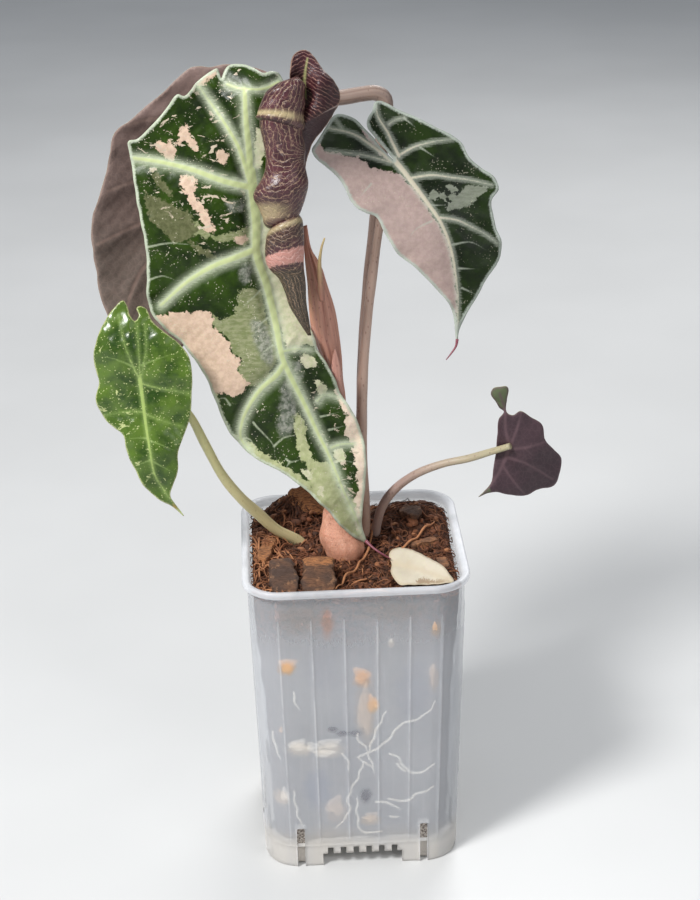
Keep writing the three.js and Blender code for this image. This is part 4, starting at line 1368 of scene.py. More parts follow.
def add_drips():
    s = Shader("drip_tip")
    tone = s.mix(s.noise(1.0, 3), (0.16, 0.035, 0.055), (0.26, 0.07, 0.09))
    s.set(Base_Color=tone, Roughness=0.45)
    radii = [0.75, 0.42, 0.35, 0.18]
    piece = make_tube("drip_tip_front", seen_line(FRONT_DRIP), radii, [s.material], 10, 0.6)
    finish_piece(piece, "new_leaf", "drip_tip_front")
    radii = [0.6, 0.4, 0.32, 0.15]
    piece = make_tube("drip_tip_right", seen_line(RIGHT_DRIP), radii, [s.material], 10, 0.6)
    finish_piece(piece, "new_leaf")


def sheath_grooves(around, down):
    """Fine ribs, and the cleft that opens towards the sheath's tip."""
    cleft = 1.5 * np.exp(-((around - (1.45 - 0.35 * down)) / 0.14) ** 2) * band(down, 0.05, 0.42, 0.08)
    return 0.22 * np.sin(around * 11 + 2 * down) - cleft


def add_sheaths():
    """The new leaf's stalk in its sheath, a second sheath before it and a thin dry spike beside it."""
    look = stalk_material("sheath", (0.50, 0.24, 0.17), (0.50, 0.25, 0.18), (0.22, 0.08, 0.06), 0.4, 0.65)
    piece = make_column("petiole_new_leaf", SHEATHS["main"], [look], steps=110, sides=64,
                        shape=sheath_grooves)
    finish_piece(piece, "stalk_pink", "petiole_new_leaf")
    look = stalk_material("sheath_second", (0.50, 0.26, 0.20), (0.42, 0.22, 0.17), (0.25, 0.10, 0.08))
    piece = make_column("sheath_second", SHEATHS["second"], [look], steps=50, sides=32, depth_share=0.6)
    finish_piece(piece, "stalk_pink", "sheath_second")
    look = stalk_material("sheath_spike", (0.34, 0.15, 0.11), (0.46, 0.36, 0.16), (0.25, 0.12, 0.08))
    piece = make_tube("sheath_spike", seen_line(SHEATHS["spike"]), [1.2, 1.0, 0.8, 0.5, 0.3], [look], 12, 0.8)
    finish_piece(piece, "stalk_pink", "sheath_spike")


def stem_material():
    s = Shader("stem_base")
    base = s.tint((0.62, 0.30, 0.195), (0.30, 0.125, 0.068), s.value("down"), 0.45, 1.0)
    rings = s.noise(1.0, 4, 0.6, s.stretch(0.12, 0.12, 0.9))
    base = s.tint(base, (0.55, 0.23, 0.14), rings, 0.46, 0.70, 0.6)
    lines = s.noise(1.5, 5, 0.65, s.stretch(1.5, 1.5, 0.18))
    base = s.tint(base, (0.40, 0.165, 0.10), lines, 0.46, 0.64, 0.6)
    base = s.tint(base, (0.80, 0.46, 0.33), s.noise(0.35, 4, 0.6), 0.5, 0.72, 0.55)
    dots = s.times(s.blend(s.cells(0.8), 0.26, 0.14), s.blend(s.noise(0.4), 0.45, 0.6))
    base = s.mix(s.times(dots, 0.7), base, (0.16, 0.06, 0.03))
    s.bump(s.add(rings, s.add(lines, s.noise(1.5, 4, 0.6))), 0.5, 0.6)
    return s.set(Base_Color=base, Roughness=0.55, **flesh(0.12, 1.2, 0.5, 0.3))


def stem_swell(around, down):
    return 0.3 * np.sin(down * 17) + 0.25 * np.sin(around * 3 + 4 * down) + 0.12 * np.sin(around * 9)


def add_stem_base():
    piece = make_column("stem_base", STEM_ROWS, [stem_material()], steps=50, sides=56, depth_share=0.8,
                        shape=stem_swell)
    finish_piece(piece, "stem", "stem_base")


# Pot
NOTCH_HALF = 15.5
NOTCH_TOP = 5.6
TOOTH_TOP = 8.4
TOOTH_HALF = 1.1
TOOTH_PITCH = 5.0
TEETH = 3  # to each side of the notch's middle
SLOT_MIDDLE = 24.0
SLOT_HALF = 1.5
SLOT_TOP = 18.0
SLOT_LIP = 0.7
KEPT_REACH = 26.3  # this far from a side's middle, the lowest part of the wall's columns stay upright
COLUMN_STEP = 1.15
RIB_HALF = 0.45
RIB_HEIGHT = 0.4
RIBS = (-27.95, -16.45, -4.95, 6.55, 18.05, 29.55)  # across a wall at the slots' top
FOOT_STEP = 1.0  # below the floor, the wall is this much thicker
RIM_FOOT = 120.5
WALL_TOP = 120.0
WALL_LEVELS = 42
RIB_SPAN = (9, 114)
RIB_FADE = 5
SLIT_HALF = 1.2
SLIT_REACH = 22.0
SLIT_PITCH = 9.0
SLITS = 2  # to each side of the middle one
GRAIN_DEPTH = 0.8

# The pot's outline, as places out from the wall and up from the ground: the wall's foot and the rim.
FOOT_LEVELS = [0.0, 0.5, 1.2, 2.4, 4, NOTCH_TOP, 7, TOOTH_TOP, 9.5, 12, 15, SLOT_TOP]
FOOT_ROUND = [(-0.45, 0.0), (-0.08, 0.5)]
RIM_ROUND = [
    (0.02, 120.8), (0.25, 121.25), (1.2, 121.35), (1.65, 121.5), (1.8, 121.9), (1.84, 122.8), (1.75, 123.5),
    (1.4, 123.9), (0.9, 124.0), (0.2, 123.9), (-0.5, 123.7), (-1.0, 123.2), (-1.2, 122.2),
]

# Soft stains seen through the front wall: across, height, half width and height, share and colour.
SMUDGES = [
    (-27, 91, 4.4, 3.6, 0.8, (0.98, 0.62, 0.30)), (1.2, 85, 4.4, 4.8, 0.7, (0.95, 0.60, 0.34)),
    (4.8, 73, 3.0, 4.6, 0.8, (0.98, 0.64, 0.32)), (2, 70, 5.0, 17, 0.5, (0.80, 0.66, 0.52)),
    (-23.5, 55, 6.2, 4.6, 0.9, (1.0, 0.94, 0.86)), (-12, 54, 7.2, 4.4, 0.9, (1.0, 0.94, 0.86)),
    (-31, 32, 4.0, 4.6, 0.75, (1.0, 0.92, 0.84)), (-9.5, 25, 5.5, 7.5, 0.5, (0.88, 0.80, 0.74)),
    (3.4, 20.5, 5.0, 3.4, 0.6, (0.92, 0.80, 0.68)), (-10.6, 63.2, 3.0, 1.6, 0.75, (0.30, 0.30, 0.34)),
    (-6.4, 61.2, 3.4, 1.7, 0.8, (0.28, 0.28, 0.32)), (-1.8, 61, 3.6, 1.8, 0.7, (0.32, 0.32, 0.36)),
    (1.6, 31.8, 2.8, 4.6, 0.8, (0.34, 0.34, 0.38)), (-21, 112, 12, 8, 0.4, (0.60, 0.53, 0.47)),
    (-11.5, 110, 3.2, 8, 0.7, (0.85, 0.52, 0.40)), (10, 114, 24, 5.5, 0.35, (0.58, 0.55, 0.52)),
    (28.6, 105, 2.4, 4.2, 0.7, (0.95, 0.72, 0.50)), (12.1, 100, 1.6, 2.2, 0.7, (0.95, 0.90, 0.84)),
    (28, 84, 2.6, 8.0, 0.5, (0.90, 0.76, 0.66)), (-17, 36, 7, 12, 0.35, (0.52, 0.58, 0.72)),
    (20, 78, 9, 18, 0.3, (0.56, 0.60, 0.70)), (-14, 90, 8, 14, 0.25, (0.58, 0.60, 0.68)),
]


def wall_width(z):
    return BASE_WIDTH + (RIM_WIDTH - 2 * RIM_OVERHANG - BASE_WIDTH) * z / POT_HEIGHT


def wall_corner(z):
    return BASE_CORNER + (RIM_CORNER - RIM_OVERHANG - BASE_CORNER) * z / POT_HEIGHT


def side_length(z):
    """Half the length of one wall, up to the middle of its corner."""
    return wall_width(z) / 2 - wall_corner(z) + wall_corner(z) * math.pi / 4


def wall_points(side, run, z, out):
    """Places on the four walls: which wall, how far along it from its middle, how high and how far out."""
    side, run, z, out = np.broadcast_arrays(side, run, z, out)
    corner = wall_corner(z) + out
    half = wall_width(z) / 2 - wall_corner(z)
    past = np.clip(np.abs(run) - half, 0, None)
    bend = np.minimum(past / wall_corner(z), math.pi / 4)
    x = np.sign(run) * (np.minimum(np.abs(run), half) + corner * np.sin(bend))
    y = -(half + corner * np.cos(bend))
    turn = math.pi / 2 * side
    return np.stack([x * np.cos(turn) - y * np.sin(turn), x * np.sin(turn) + y * np.cos(turn), z], -1)


def side_columns():
    """Places along one wall at the slots' top: the edges of its cutouts and ribs, with even steps between."""
    edges = [0.0, float(side_length(SLOT_TOP)), KEPT_REACH, NOTCH_HALF]
    edges += [SLOT_MIDDLE + side * reach for side in (-1, 1) for reach in (SLOT_HALF, SLOT_HALF + SLOT_LIP)]
    for i in range(TEETH):
        edges += [(i + 0.5) * TOOTH_PITCH - TOOTH_HALF, (i + 0.5) * TOOTH_PITCH + TOOTH_HALF]
    fixed = {sign * edge for edge in edges for sign in (-1, 1)}
    fixed |= {rib + step for rib in RIBS for step in (-RIB_HALF, 0.0, RIB_HALF)}
    fixed = sorted(fixed)
    runs = []
    for a, b in zip(fixed, fixed[1:]):
        count = max(1, math.ceil((b - a) / COLUMN_STEP))
        runs += list(np.linspace(a, b, count + 1)[1:])
    return runs


def column_place(run, z):
    """Where a column of side_columns is at another height: the ribs lean in as the pot narrows."""
    if z > SLOT_TOP:
        return run * side_length(z) / side_length(SLOT_TOP)
    past = abs(run) - KEPT_REACH
    if past <= 0:
        return run
    stretch = (side_length(z) - KEPT_REACH) / (side_length(SLOT_TOP) - KEPT_REACH)
    return math.copysign(KEPT_REACH + past * stretch, run)


def rib_share(run, z):
    """1 on the middle of a rib or on a slot's lip, and 0 off them."""
    from_slot = abs(abs(run) - SLOT_MIDDLE) - SLOT_HALF
    if -0.01 < from_slot < SLOT_LIP / 2 and z <= SLOT_TOP:
        return 1.0
    nearest = min(abs(run - rib) for rib in RIBS)
    return max(0.0, 1 - nearest / (1.5 * RIB_HALF)) * band(z, *RIB_SPAN, RIB_FADE)


def is_cut(run, z):
    """Whether the notch, a gap between its teeth or a slot is here."""
    near = abs(run)
    from_tooth = abs(near % TOOTH_PITCH - TOOTH_PITCH / 2)
    if near < NOTCH_HALF and z < NOTCH_TOP:
        return True
    if near < TEETH * TOOTH_PITCH and from_tooth < TOOTH_HALF and z < TOOTH_TOP:
        return True
    return abs(near - SLOT_MIDDLE) < SLOT_HALF and z < SLOT_TOP


def pot_material(name, alpha, tone):
    """Milky plastic: cloudy, warmer at its foot, stained in front, clearer near the rim, with whiter ribs and
    rim that are partly painted highlight.
    """
    s = Shader(name)
    cloud = s.blend(s.noise(0.035, 4, 0.6), 0.35, 0.65)
    base = s.mix(cloud, tone, tuple(c * 0.93 for c in tone))
    streak = s.noise(0.5, 4, 0.6, s.stretch(1, 1, 0.05))
    base = s.tint(base, tuple(min(1, c * 1.2) for c in tone), streak, 0.5, 0.75, 0.25)
    base = s.tint(base, (0.80, 0.75, 0.68), s.shake(s.height(), cloud, 5.0), 24, 10, 0.85)
    for *spot, tint in SMUDGES:
        base = s.mix(s.smudge(*spot), base, tint)
    # Whiter ribs: partly their thicker milky plastic, partly painted highlight where light catches them; the
    # worn noise only breaks the whitening into patches.
    worn = s.blend(s.noise(0.09, 3, 0.6), 0.35, 0.6, 0.3, 1.0)
    base = s.mix(s.times(s.blend(s.value("rib"), 0.15, 0.9, 0, 0.55), worn), base, (0.92, 0.92, 0.94))
    panels = s.noise(0.05, 2, 0.5, s.stretch(1.6, 1.6, 0.15))
    base = s.tint(base, (0.66, 0.68, 0.74), panels, 0.42, 0.62, 0.22)
    scratches = s.noise(2.0, 5, 0.7, s.stretch(0.25, 0.25, 1.6))
    s.bump(s.shake(s.noise(0.25, 4, 0.6), scratches, 0.3), 0.10, 0.6)
    milk = s.blend(s.shake(s.height(), streak, 16.0), 98, POT_HEIGHT, alpha, alpha * 0.66)
    milk = s.add(milk, s.blend(s.height(), 120, 121.5, 0, 0.22))
    milk = s.add(milk, s.times(s.blend(s.value("rib"), 0.2, 1.0, 0, 0.08), worn))
    milk = s.add(milk, s.blend(s.height(), 13, 7, 0, 0.25))
    return s.set(Base_Color=base, Roughness=s.add(s.times(scratches, 0.18), 0.22), IOR=1.45, Alpha=milk)


def pot_profile():
    """The wall's outline, up its outside, round the rim and down its inside, and its number of levels."""
    levels = FOOT_LEVELS + [SLOT_TOP + 0.05] + list(np.linspace(SLOT_TOP, WALL_TOP, WALL_LEVELS)[1:])
    outer = FOOT_ROUND + [(0.0, z) for z in levels[len(FOOT_ROUND):]]
    inner = [(-WALL - (FOOT_STEP if z < FLOOR_UNDERSIDE else 0), z) for z in levels[::-1]]
    return outer + RIM_ROUND + inner, len(levels)


def cutout_faces(cut, levels):
    """Faces that close the wall's thickness round its cutouts and along its foot."""
    last, count = cut.shape
    faces = []
    for r in range(-1, levels - 1):
        for c in range(count):
            if r < 0 or cut[r, c] != cut[r + 1, c]:
                d = (c + 1) % count
                a, b = (r + 1) * count + c, (r + 1) * count + d
                p, q = (last - r - 1) * count + c, (last - r - 1) * count + d
                above = cut[r + 1, c]
                if r >= 0 or not above:
                    faces.append((a, b, q, p) if above else (b, a, p, q))
            if r >= 0 and cut[r, c] != cut[r, c - 1]:
                a, b = r * count + c, (r + 1) * count + c
                p, q = (last - r) * count + c, (last - r - 1) * count + c
                faces.append((a, b, q, p) if cut[r, c] else (b, a, p, q))
    return faces


def add_pot():
    """The moulded shell: one grid of points, up the outside and down the inside, less its cutouts."""
    runs = side_columns()
    profile, levels = pot_profile()
    sides = np.repeat(range(4), len(runs))
    points = []
    ribs = []
    for out, z in profile:
        rib = np.array([rib_share(run, z) for run in runs] * 4)
        ribbed = FOOT_ROUND[0][0] < out and z < WALL_TOP - 2
        lift = RIB_HEIGHT * rib if ribbed else 0
        points.append(wall_points(sides, [column_place(run, z) for run in runs] * 4, z, out + lift))
        # The rim counts as three-quarter rib, so it is whitened like the ribs: partly its thicker plastic,
        # partly painted highlight.
        ribs.append(np.maximum(rib, 0.75 if z > RIM_FOOT else 0.0))
    cut = []
    for (_, low), (_, high) in zip(profile, profile[1:]):
        cut.append(([is_cut((a + b) / 2, (low + high) / 2) for a, b in zip(runs, runs[1:])] + [False]) * 4)
    cut = np.array(cut)
    count = len(sides)
    faces = []
    for r, c in np.argwhere(~cut):
        d = (c + 1) % count
        faces.append((r * count + c, r * count + d, (r + 1) * count + d, (r + 1) * count + c))
    faces += cutout_faces(cut, levels)
    milky = pot_material("milky_plastic", 0.36, (0.74, 0.76, 0.79))
    piece = add_mesh("pot", np.concatenate(points), faces, [milky], values={"rib": np.concatenate(ribs)})
    finish_piece(piece, "pot_plastic", "pot")


def add_pot_floor():
    """The raised floor, with its drainage slits."""
    half = wall_width(FLOOR_UNDERSIDE) / 2 - WALL - 0.15
    corner = wall_corner(FLOOR_UNDERSIDE) - WALL
    xs = {-half, half}
    for i in range(-SLITS, SLITS + 1):
        xs |= {i * SLIT_PITCH - SLIT_HALF, i * SLIT_PITCH + SLIT_HALF}
    bend = np.linspace(0, math.pi / 2, 7)
    xs |= {s * (half - corner + corner * math.sin(b)) for b in bend for s in (-1, 1)}
    xs = sorted(xs)
    points = []
    for z in (FLOOR_UNDERSIDE, FLOOR_UNDERSIDE + FLOOR_THICKNESS):
        for x in xs:
            past = max(0.0, abs(x) - (half - corner))
            far = half - corner + math.sqrt(max(corner ** 2 - past ** 2, 0.0))
            near = min(SLIT_REACH, far * 0.6)
            points += [(x, y, z) for y in (-far, -near, near, far)]
    level = len(xs) * 4
    kept = set()
    for i in range(len(xs) - 1):
        middle = (xs[i] + xs[i + 1]) / 2
        slit = SLIT_PITCH * round(middle / SLIT_PITCH)
        in_slit = abs(middle - slit) < SLIT_HALF and abs(slit) <= SLITS * SLIT_PITCH
        kept |= {(i, j) for j in range(3) if not (in_slit and j == 1)}
    faces = []
    for i, j in sorted(kept):
        a, b, c, d = i * 4 + j, (i + 1) * 4 + j, (i + 1) * 4 + j + 1, i * 4 + j + 1
        faces.append((d, c, b, a))
        faces.append((a + level, b + level, c + level, d + level))
        beside = ((i, j - 1), (i + 1, j), (i, j + 1), (i - 1, j))
        for p, q, other in zip((a, b, c, d), (b, c, d, a), beside):
            if other not in kept:
                faces.append((p, q, q + level, p + level))
    milky = pot_material("milky_floor", 0.85, (0.70, 0.72, 0.74))
    finish_piece(add_mesh("pot_floor", points, faces, [milky], smooth=False), "pot_plastic")


def grain_material():
    s = Shader("slot_grains_and_painted_lit_foot")
    grain = s.noise(1.1, 5, 0.7)
    tone = s.tint((0.10, 0.075, 0.06), (0.50, 0.44, 0.38), grain, 0.42, 0.58)
    tone = s.tint(tone, (0.80, 0.76, 0.70), s.noise(1.9, 3, 0.6), 0.56, 0.64, 0.85)
    s.bump(grain, 0.7, 0.8)
    # painted light: below about 10 mm the panel stands for the foot's inner wall, coloured pale beige as if
    # lit, though it lies in shade under the pot
    tone = s.tint(tone, (0.66, 0.61, 0.55), s.shake(s.height(), grain, 3.0), 11.5, 9.5)
    return s.set(Base_Color=tone, Roughness=0.7)


def slab_faces(wide, tall):
    """Faces of a slab: its front grid of points, then its back grid, and the edge between them."""
    back = wide * tall
    faces = []
    for r in range(tall - 1):
        for c in range(wide - 1):
            a = r * wide + c
            faces.append((a, a + 1, a + wide + 1, a + wide))
            faces.append((a + back + wide, a + back + wide + 1, a + back + 1, a + back))
    ring = list(range(wide))
    ring += [r * wide + wide - 1 for r in range(1, tall)]
    ring += [(tall - 1) * wide + c for c in range(wide - 2, -1, -1)]
    ring += [r * wide for r in range(tall - 2, 0, -1)]
    for a, b in zip(ring, ring[1:] + ring[:1]):
        faces.append((a, a + back, b + back, b))
    return faces


def add_slot_grains():
    """Mix and perlite pressed against the wall behind each slot, and below the floor the foot's inner wall,
    painted pale as if lit.
    """
    material = grain_material()
    heights = np.linspace(0.6, SLOT_TOP + 0.9, 22)
    steps = np.linspace(-2.1, 2.1, 8)
    faces = slab_faces(len(steps), len(heights))
    back, z, step = (v.ravel() for v in np.meshgrid([0, 1], heights, steps, indexing="ij"))
    foot = np.where(z < FLOOR_UNDERSIDE, FOOT_STEP, 0)
    for side in range(4):
        for sign, word in ((-1, "left"), (1, "right")):
            lump = 0.2 * soft_noise(step * 2.2 + side, z * 1.9, sign * 2, 7)
            depth = WALL + 0.35 - lump + foot + GRAIN_DEPTH * back
            points = wall_points(side, sign * SLOT_MIDDLE + step, z, -depth)
            finish_piece(add_mesh(f"slot_grains_{side + 1}_{word}", points, faces, [material]), "potting_mix")


# Potting mix
# The heaps that the mix is made of: across, back, reach and height.
HEAPS = [(-20, 27, 13, 13), (24, 20, 16, 9), (-36, 6, 12, 5), (-22, -18, 14, 3.5), (0, 8, 16, 2.5)]
MIX_LEVEL = POT_HEIGHT - 7
SIDE_TOP = POT_HEIGHT - 11
MIX_SIDES = 232
SIDE_RINGS = 44
TOP_RINGS = 62
WIDENS_FROM = 64.0  # over this height the mix comes nearer to the wall, by a ragged line
WIDENS_OVER = 48.0
TOP_SPACE = 0.6  # between the mix and the wall, where they are nearest
STRANDS = 2350
CORNER_STRANDS = 100  # the last of them, in a tuft at the left front corner
CRUMBS = 620


def mix_height(x, y):
    height = MIX_LEVEL
    for cx, cy, reach, tall in HEAPS:
        height = height + tall * np.exp(-((x - cx) ** 2 + (y - cy) ** 2) / reach ** 2)
    return height + 0.6 * np.sin(x * 0.55 + 1) * np.cos(y * 0.48)


def soft_noise(x, y, z, seed):
    """A cheap lumpy function of place, about -1 to 1."""
    a = np.sin(x * 1.0 + seed + 1.7 * np.sin(y * 0.8 + seed * 2))
    b = np.cos(y * 1.1 + seed * 1.3 + 1.4 * np.sin(z * 0.9 + x * 0.5))
    c = np.sin((x + y + z) * 0.7 + seed * 0.7)
    return (a * b + 0.5 * c) / 1.5


def mix_material():
    s = Shader("potting_mix")
    lumps = s.noise(0.45, 6, 0.7)
    base = s.tint((0.024, 0.008, 0.004), (0.110, 0.038, 0.016), lumps, 0.38, 0.62)
    thread = s.noise(1.6, 4, 0.6, s.stretch(1.8, 0.35, 1), 2.0)
    base = s.tint(base, (0.26, 0.105, 0.042), thread, 0.55, 0.68, 0.7)
    base = s.tint(base, (0.35, 0.17, 0.08), s.noise(0.9, 5, 0.7), 0.62, 0.72, 0.6)
    s.bump(s.shake(lumps, s.noise(2.2, 5, 0.7), 0.7), 0.9, 1.2)
    return s.set(Base_Color=base, Roughness=0.85)


def coir_material(name):
    s = Shader(name)
    tint = s.value("tint")
    base = s.tint((0.040, 0.014, 0.006), (0.19, 0.063, 0.024), tint, 0.0, 0.5)
    base = s.tint(base, (0.44, 0.19, 0.080), tint, 0.5, 1.0)
    base = s.tint(base, (0.08, 0.03, 0.015), s.noise(1.1, 4, 0.7), 0.45, 0.7, 0.5)
    s.bump(s.noise(3, 3, 0.6), 0.4, 0.3)
    return s.set(Base_Color=base, Roughness=0.8)


def bark_material():
    s = Shader("bark")
    base = s.tint((0.085, 0.050, 0.036), (0.46, 0.19, 0.070), s.value("tint"), 0.0, 1.0)
    grain = s.noise(0.9, 6, 0.7, s.stretch(0.5, 2.4, 2.4))
    base = s.tint(base, (0.055, 0.026, 0.016), grain, 0.42, 0.62, 0.8)
    base = s.tint(base, (0.42, 0.21, 0.10), s.noise(0.35, 4, 0.65), 0.55, 0.72, 0.65)
    s.bump(s.add(grain, s.noise(1.8, 5, 0.7)), 0.8, 0.8)
    return s.set(Base_Color=base, Roughness=0.78)


def add_mix():
    """The heaped mix: its rough top, and its side behind the pot's wall."""
    side_count = MIX_SIDES // 4
    side, column = np.divmod(np.arange(MIX_SIDES), side_count)
    place = (column + 0.5) / side_count * 2 - 1

    def ring(z):
        """The mix's side at this height, nearer to the wall towards the top."""
        runs = place * side_length(z)
        ragged = 8 * soft_noise(runs * 0.12, 0.0, side * 2.0, 6)
        top = np.clip((z - WIDENS_FROM - ragged) / WIDENS_OVER, 0, 1)
        near = WALL + ROOT_SPACE - (ROOT_SPACE - TOP_SPACE) * top ** 2 * (3 - 2 * top)
        return wall_points(side, runs, z, -near)

    rings = []
    for z in np.linspace(FLOOR_UNDERSIDE + FLOOR_THICKNESS + 0.3, SIDE_TOP, SIDE_RINGS):
        part = ring(z)
        lump = 0.5 * soft_noise(*(part * 0.5).T, 3) - 0.75 + 0.3 * soft_noise(*(part * 1.3).T, 5)
        calm = 1 - 0.6 * min(max((z - 92) / 16, 0), 1)
        part[:, :2] *= (1 + lump * calm / np.hypot(part[:, 0], part[:, 1]))[:, None]
        rings.append(part)
    for share in np.linspace(1, 0.015, TOP_RINGS):
        part = ring(POT_HEIGHT - 9)
        part[:, :2] *= share * 0.995
        x, y = part[:, 0], part[:, 1]
        part[:, 2] = mix_height(x, y) - 0.6
        for size, scale, seed in ((1.0, 0.55, 1), (0.55, 1.5, 2), (0.35, 3.4, 4)):
            part[:, 2] += size * soft_noise(x * scale, y * scale, 0, seed)
        rings.append(part)
    piece = add_mesh("potting_mix", capped(rings), close_rings(rings, MIX_SIDES), [mix_material()])
    finish_piece(piece, "potting_mix", "potting_mix")


def random_place(rng, margin=4.5):
    """A place inside the pot's rounded square."""
    half = RIM_WIDTH / 2 - margin
    while True:
        x, y = rng.uniform(-half, half, 2)
        past = np.clip(np.abs([x, y]) - (half - 10), 0, None)
        if np.hypot(*past) < 10:
            return x, y


def keep_in_pot(line, margin=3.3, corner=11):
    """Moves the points of a line into the pot's rounded square."""
    limit = RIM_WIDTH / 2 - margin
    flat = np.clip(line[:, :2], -limit, limit)
    past = np.clip(np.abs(flat) - (limit - corner), 0, None)
    over = np.maximum(np.hypot(past[:, 0], past[:, 1]) / corner, 1)
    line[:, :2] = np.sign(flat) * (np.minimum(np.abs(flat), limit - corner) + past / over[:, None])


def strand(rng, number):
    """One short bent strand on the mix: its points, its faces and its tint."""
    sides = 4
    in_corner = number >= STRANDS - CORNER_STRANDS
    x, y = (rng.uniform(-38, -27), rng.uniform(-33, 6)) if in_corner else random_place(rng)
    way = rng.normal(-1.2, 0.5) if in_corner else rng.uniform(0, 2 * math.pi)
    length = rng.uniform(3, 13)
    bend = rng.normal(0, 1.3)
    t = np.linspace(-0.5, 0.5, 8)
    turn = way + bend * t
    line = np.stack([x + length * t * np.cos(turn), y + length * t * np.sin(turn), np.zeros(8)], -1)
    keep_in_pot(line)
    rise = rng.uniform(0.1, 1.1) * (1 - (2 * t) ** 2) + rng.uniform(-0.2, 0.7) + rng.normal(0, 0.9) * t
    line[:, 2] = np.minimum(mix_height(line[:, 0], line[:, 1]) + rise, 133)
    line[:, 2] += rng.uniform(0, 0.5) * np.sin(t * rng.uniform(6, 16) + number)
    radius = rng.uniform(0.08, 0.24) if number % 9 else rng.uniform(0.25, 0.5)
    if in_corner:
        radius = rng.uniform(0.2, 0.45)
        line[:, 2] += 0.8
    tint = rng.uniform(0.6, 1) if in_corner else rng.beta(1.3, 2.2)
    return tube_points(line, [radius * 0.5, radius, radius * 0.4], sides), close_rings(line, sides), tint


def crumb(rng, number):
    """One angular crumb on the mix: its points, its faces and its tint."""
    sides = 7
    turn = circle(sides)
    x, y = random_place(rng)
    size = rng.uniform(0.5, 1.9, 3) * (1.6 if number % 11 == 0 else 1)
    lean = Matrix.Rotation(rng.uniform(0, 6.28), 3, "Z") @ Matrix.Rotation(rng.normal(0, 0.5), 3, "X")
    rings = []
    for height, wide in ((-0.8, 0.6), (-0.3, 1.0), (0.35, 0.95), (0.8, 0.55)):
        rough = wide * rng.uniform(0.75, 1.2, sides)
        level = np.full(sides, height * size[2] * 0.6)
        rings.append(np.stack([np.cos(turn) * size[0] * rough, np.sin(turn) * size[1] * rough, level], -1))
    limit = RIM_WIDTH / 2 - 4.4
    x, y = np.clip([x, y], -limit + size.max(), limit - size.max())
    points = capped(rings) @ np.array(lean).T + [x, y, mix_height(x, y) + 0.1]
    return points, close_rings(rings, sides), rng.beta(1.2, 2.0)


def add_scatter(name, bodies, material):
    """One mesh of many small bodies."""
    points, faces, tints = [], [], []
    start = 0
    for body, body_faces, tint in bodies:
        points.append(body)
        faces += [tuple(v + start for v in face) for face in body_faces]
        tints.append(np.full(len(body), tint))
        start += len(body)
    piece = add_mesh(name, np.concatenate(points), faces, [material], values={"tint": np.concatenate(tints)})
    finish_piece(piece, "coir_fibre")


def add_coir():
    """Loose strands and crumbs over the heap, every one lying on it."""
    rng = np.random.default_rng(11)
    material = coir_material("coir")
    add_scatter("coir_strands", [strand(rng, number) for number in range(STRANDS)], material)
    add_scatter("crumbs", [crumb(rng, number) for number in range(CRUMBS)], material)


# Each chip's place, size, turn and lean on the mix, and how orange it is.
CHIPS = [
    (-14, 26, (21, 12, 4), 8, 52, 1.15),
    (-27, -25, (10, 20, 6), 6, 25, 0.15),
    (-13.8, -25, (12, 20, 6.5), -2, 25, 0.3),
    (-33, -2, (5, 17, 3), -12, 4, 0.8),
    (28, 2, (12, 3, 2.6), 20, 4, 0.55),
    (24, 16, (9, 6, 3), -35, 10, 0.3),
    (8, 28, (8, 6, 3), 40, -6, 0.45),
    (34, -12, (4, 8, 2.4), 10, 0, 0.5),
]
BOWED_CHIP = 1
BRIGHT_TOPPED_CHIP = 3


def chip_rings(number, size, sides, steps):
    """A squarish section, drawn along the chip's longer side and worn at its ends."""
    around = circle(sides)
    wide, thick, long = min(size[:2]) / 2, size[2] / 2, max(size[:2])
    rings = []
    for t in np.linspace(-1, 1, steps):
        end = (1 - abs(t) ** 7) ** 0.5 * 0.96 + 0.04
        worn = 1 + 0.10 * np.sin(t * 5 + number) + 0.05 * np.sin(t * 17 + number * 2)
        cx = np.sign(np.cos(around)) * np.abs(np.cos(around)) ** 0.3 * wide * worn * end
        cz = np.sign(np.sin(around)) * np.abs(np.sin(around)) ** 0.3 * thick * (0.8 + 0.2 * worn) * end
        layer = 0.16 * np.sin(cz * 6 + t * 3)
        layer = layer + 0.28 * soft_noise(cx * 1.1 + t * 4, cz * 1.9, t * 9, number)
        cx = cx + layer * np.sign(cx) * 0.8
        cz = cz + 0.25 * soft_noise(cx * 1.2, t * 11, cz, number + 5)
        rings.append(np.stack([cx, np.full(sides, t * long / 2 * 0.97), cz], -1))
    return rings


def add_bark():
    sides, steps = 40, 26
    bark = bark_material()
    for number, (x, y, size, turn, lean, orange) in enumerate(CHIPS, 1):
        shape = capped(chip_rings(number, size, sides, steps))
        if size[0] > size[1]:
            shape = shape[:, [1, 0, 2]] * [1, -1, 1]
        if number == BOWED_CHIP:
            shape[:, 2] += 1.6 - 0.03 * shape[:, 0] ** 2
        place = np.array(
            Matrix.Translation((x, y, float(mix_height(x, y)) + size[2] * 0.25))
            @ Matrix.Rotation(math.radians(turn), 4, "Z") @ Matrix.Rotation(math.radians(lean), 4, "X")
        )
        shape = shape @ place[:3, :3].T + place[:3, 3]
        tint = orange + 0.25 * soft_noise(shape[:, 0] * 0.6, shape[:, 1] * 0.6, shape[:, 2] * 0.8, number)
        if number == BRIGHT_TOPPED_CHIP:
            tint = tint + 0.6 * (shape[:, 2] > shape[:, 2].max() - 1.3)
        name = f"bark_chip_{number}"
        faces = close_rings(range(steps), sides)
        piece = add_mesh(name, shape, faces, [bark], values={"tint": np.clip(tint, 0, 1)})
        finish_piece(piece, "bark", name)


# Long fibres on the mix: across and back along each.
FIBRES = [
    [[8, 9], [7.5, 3], [6, -3], [1, -15], [-4.5, -24], [-7.5, -32]],
    [[-36, 4], [-35, -6], [-34, -14]],
    [[16, -6], [26, 4], [33, 12]],
    [[-14, 31], [2, 26], [14, 32]],
    [[-4, -36], [3, -33], [12, -35]],
]


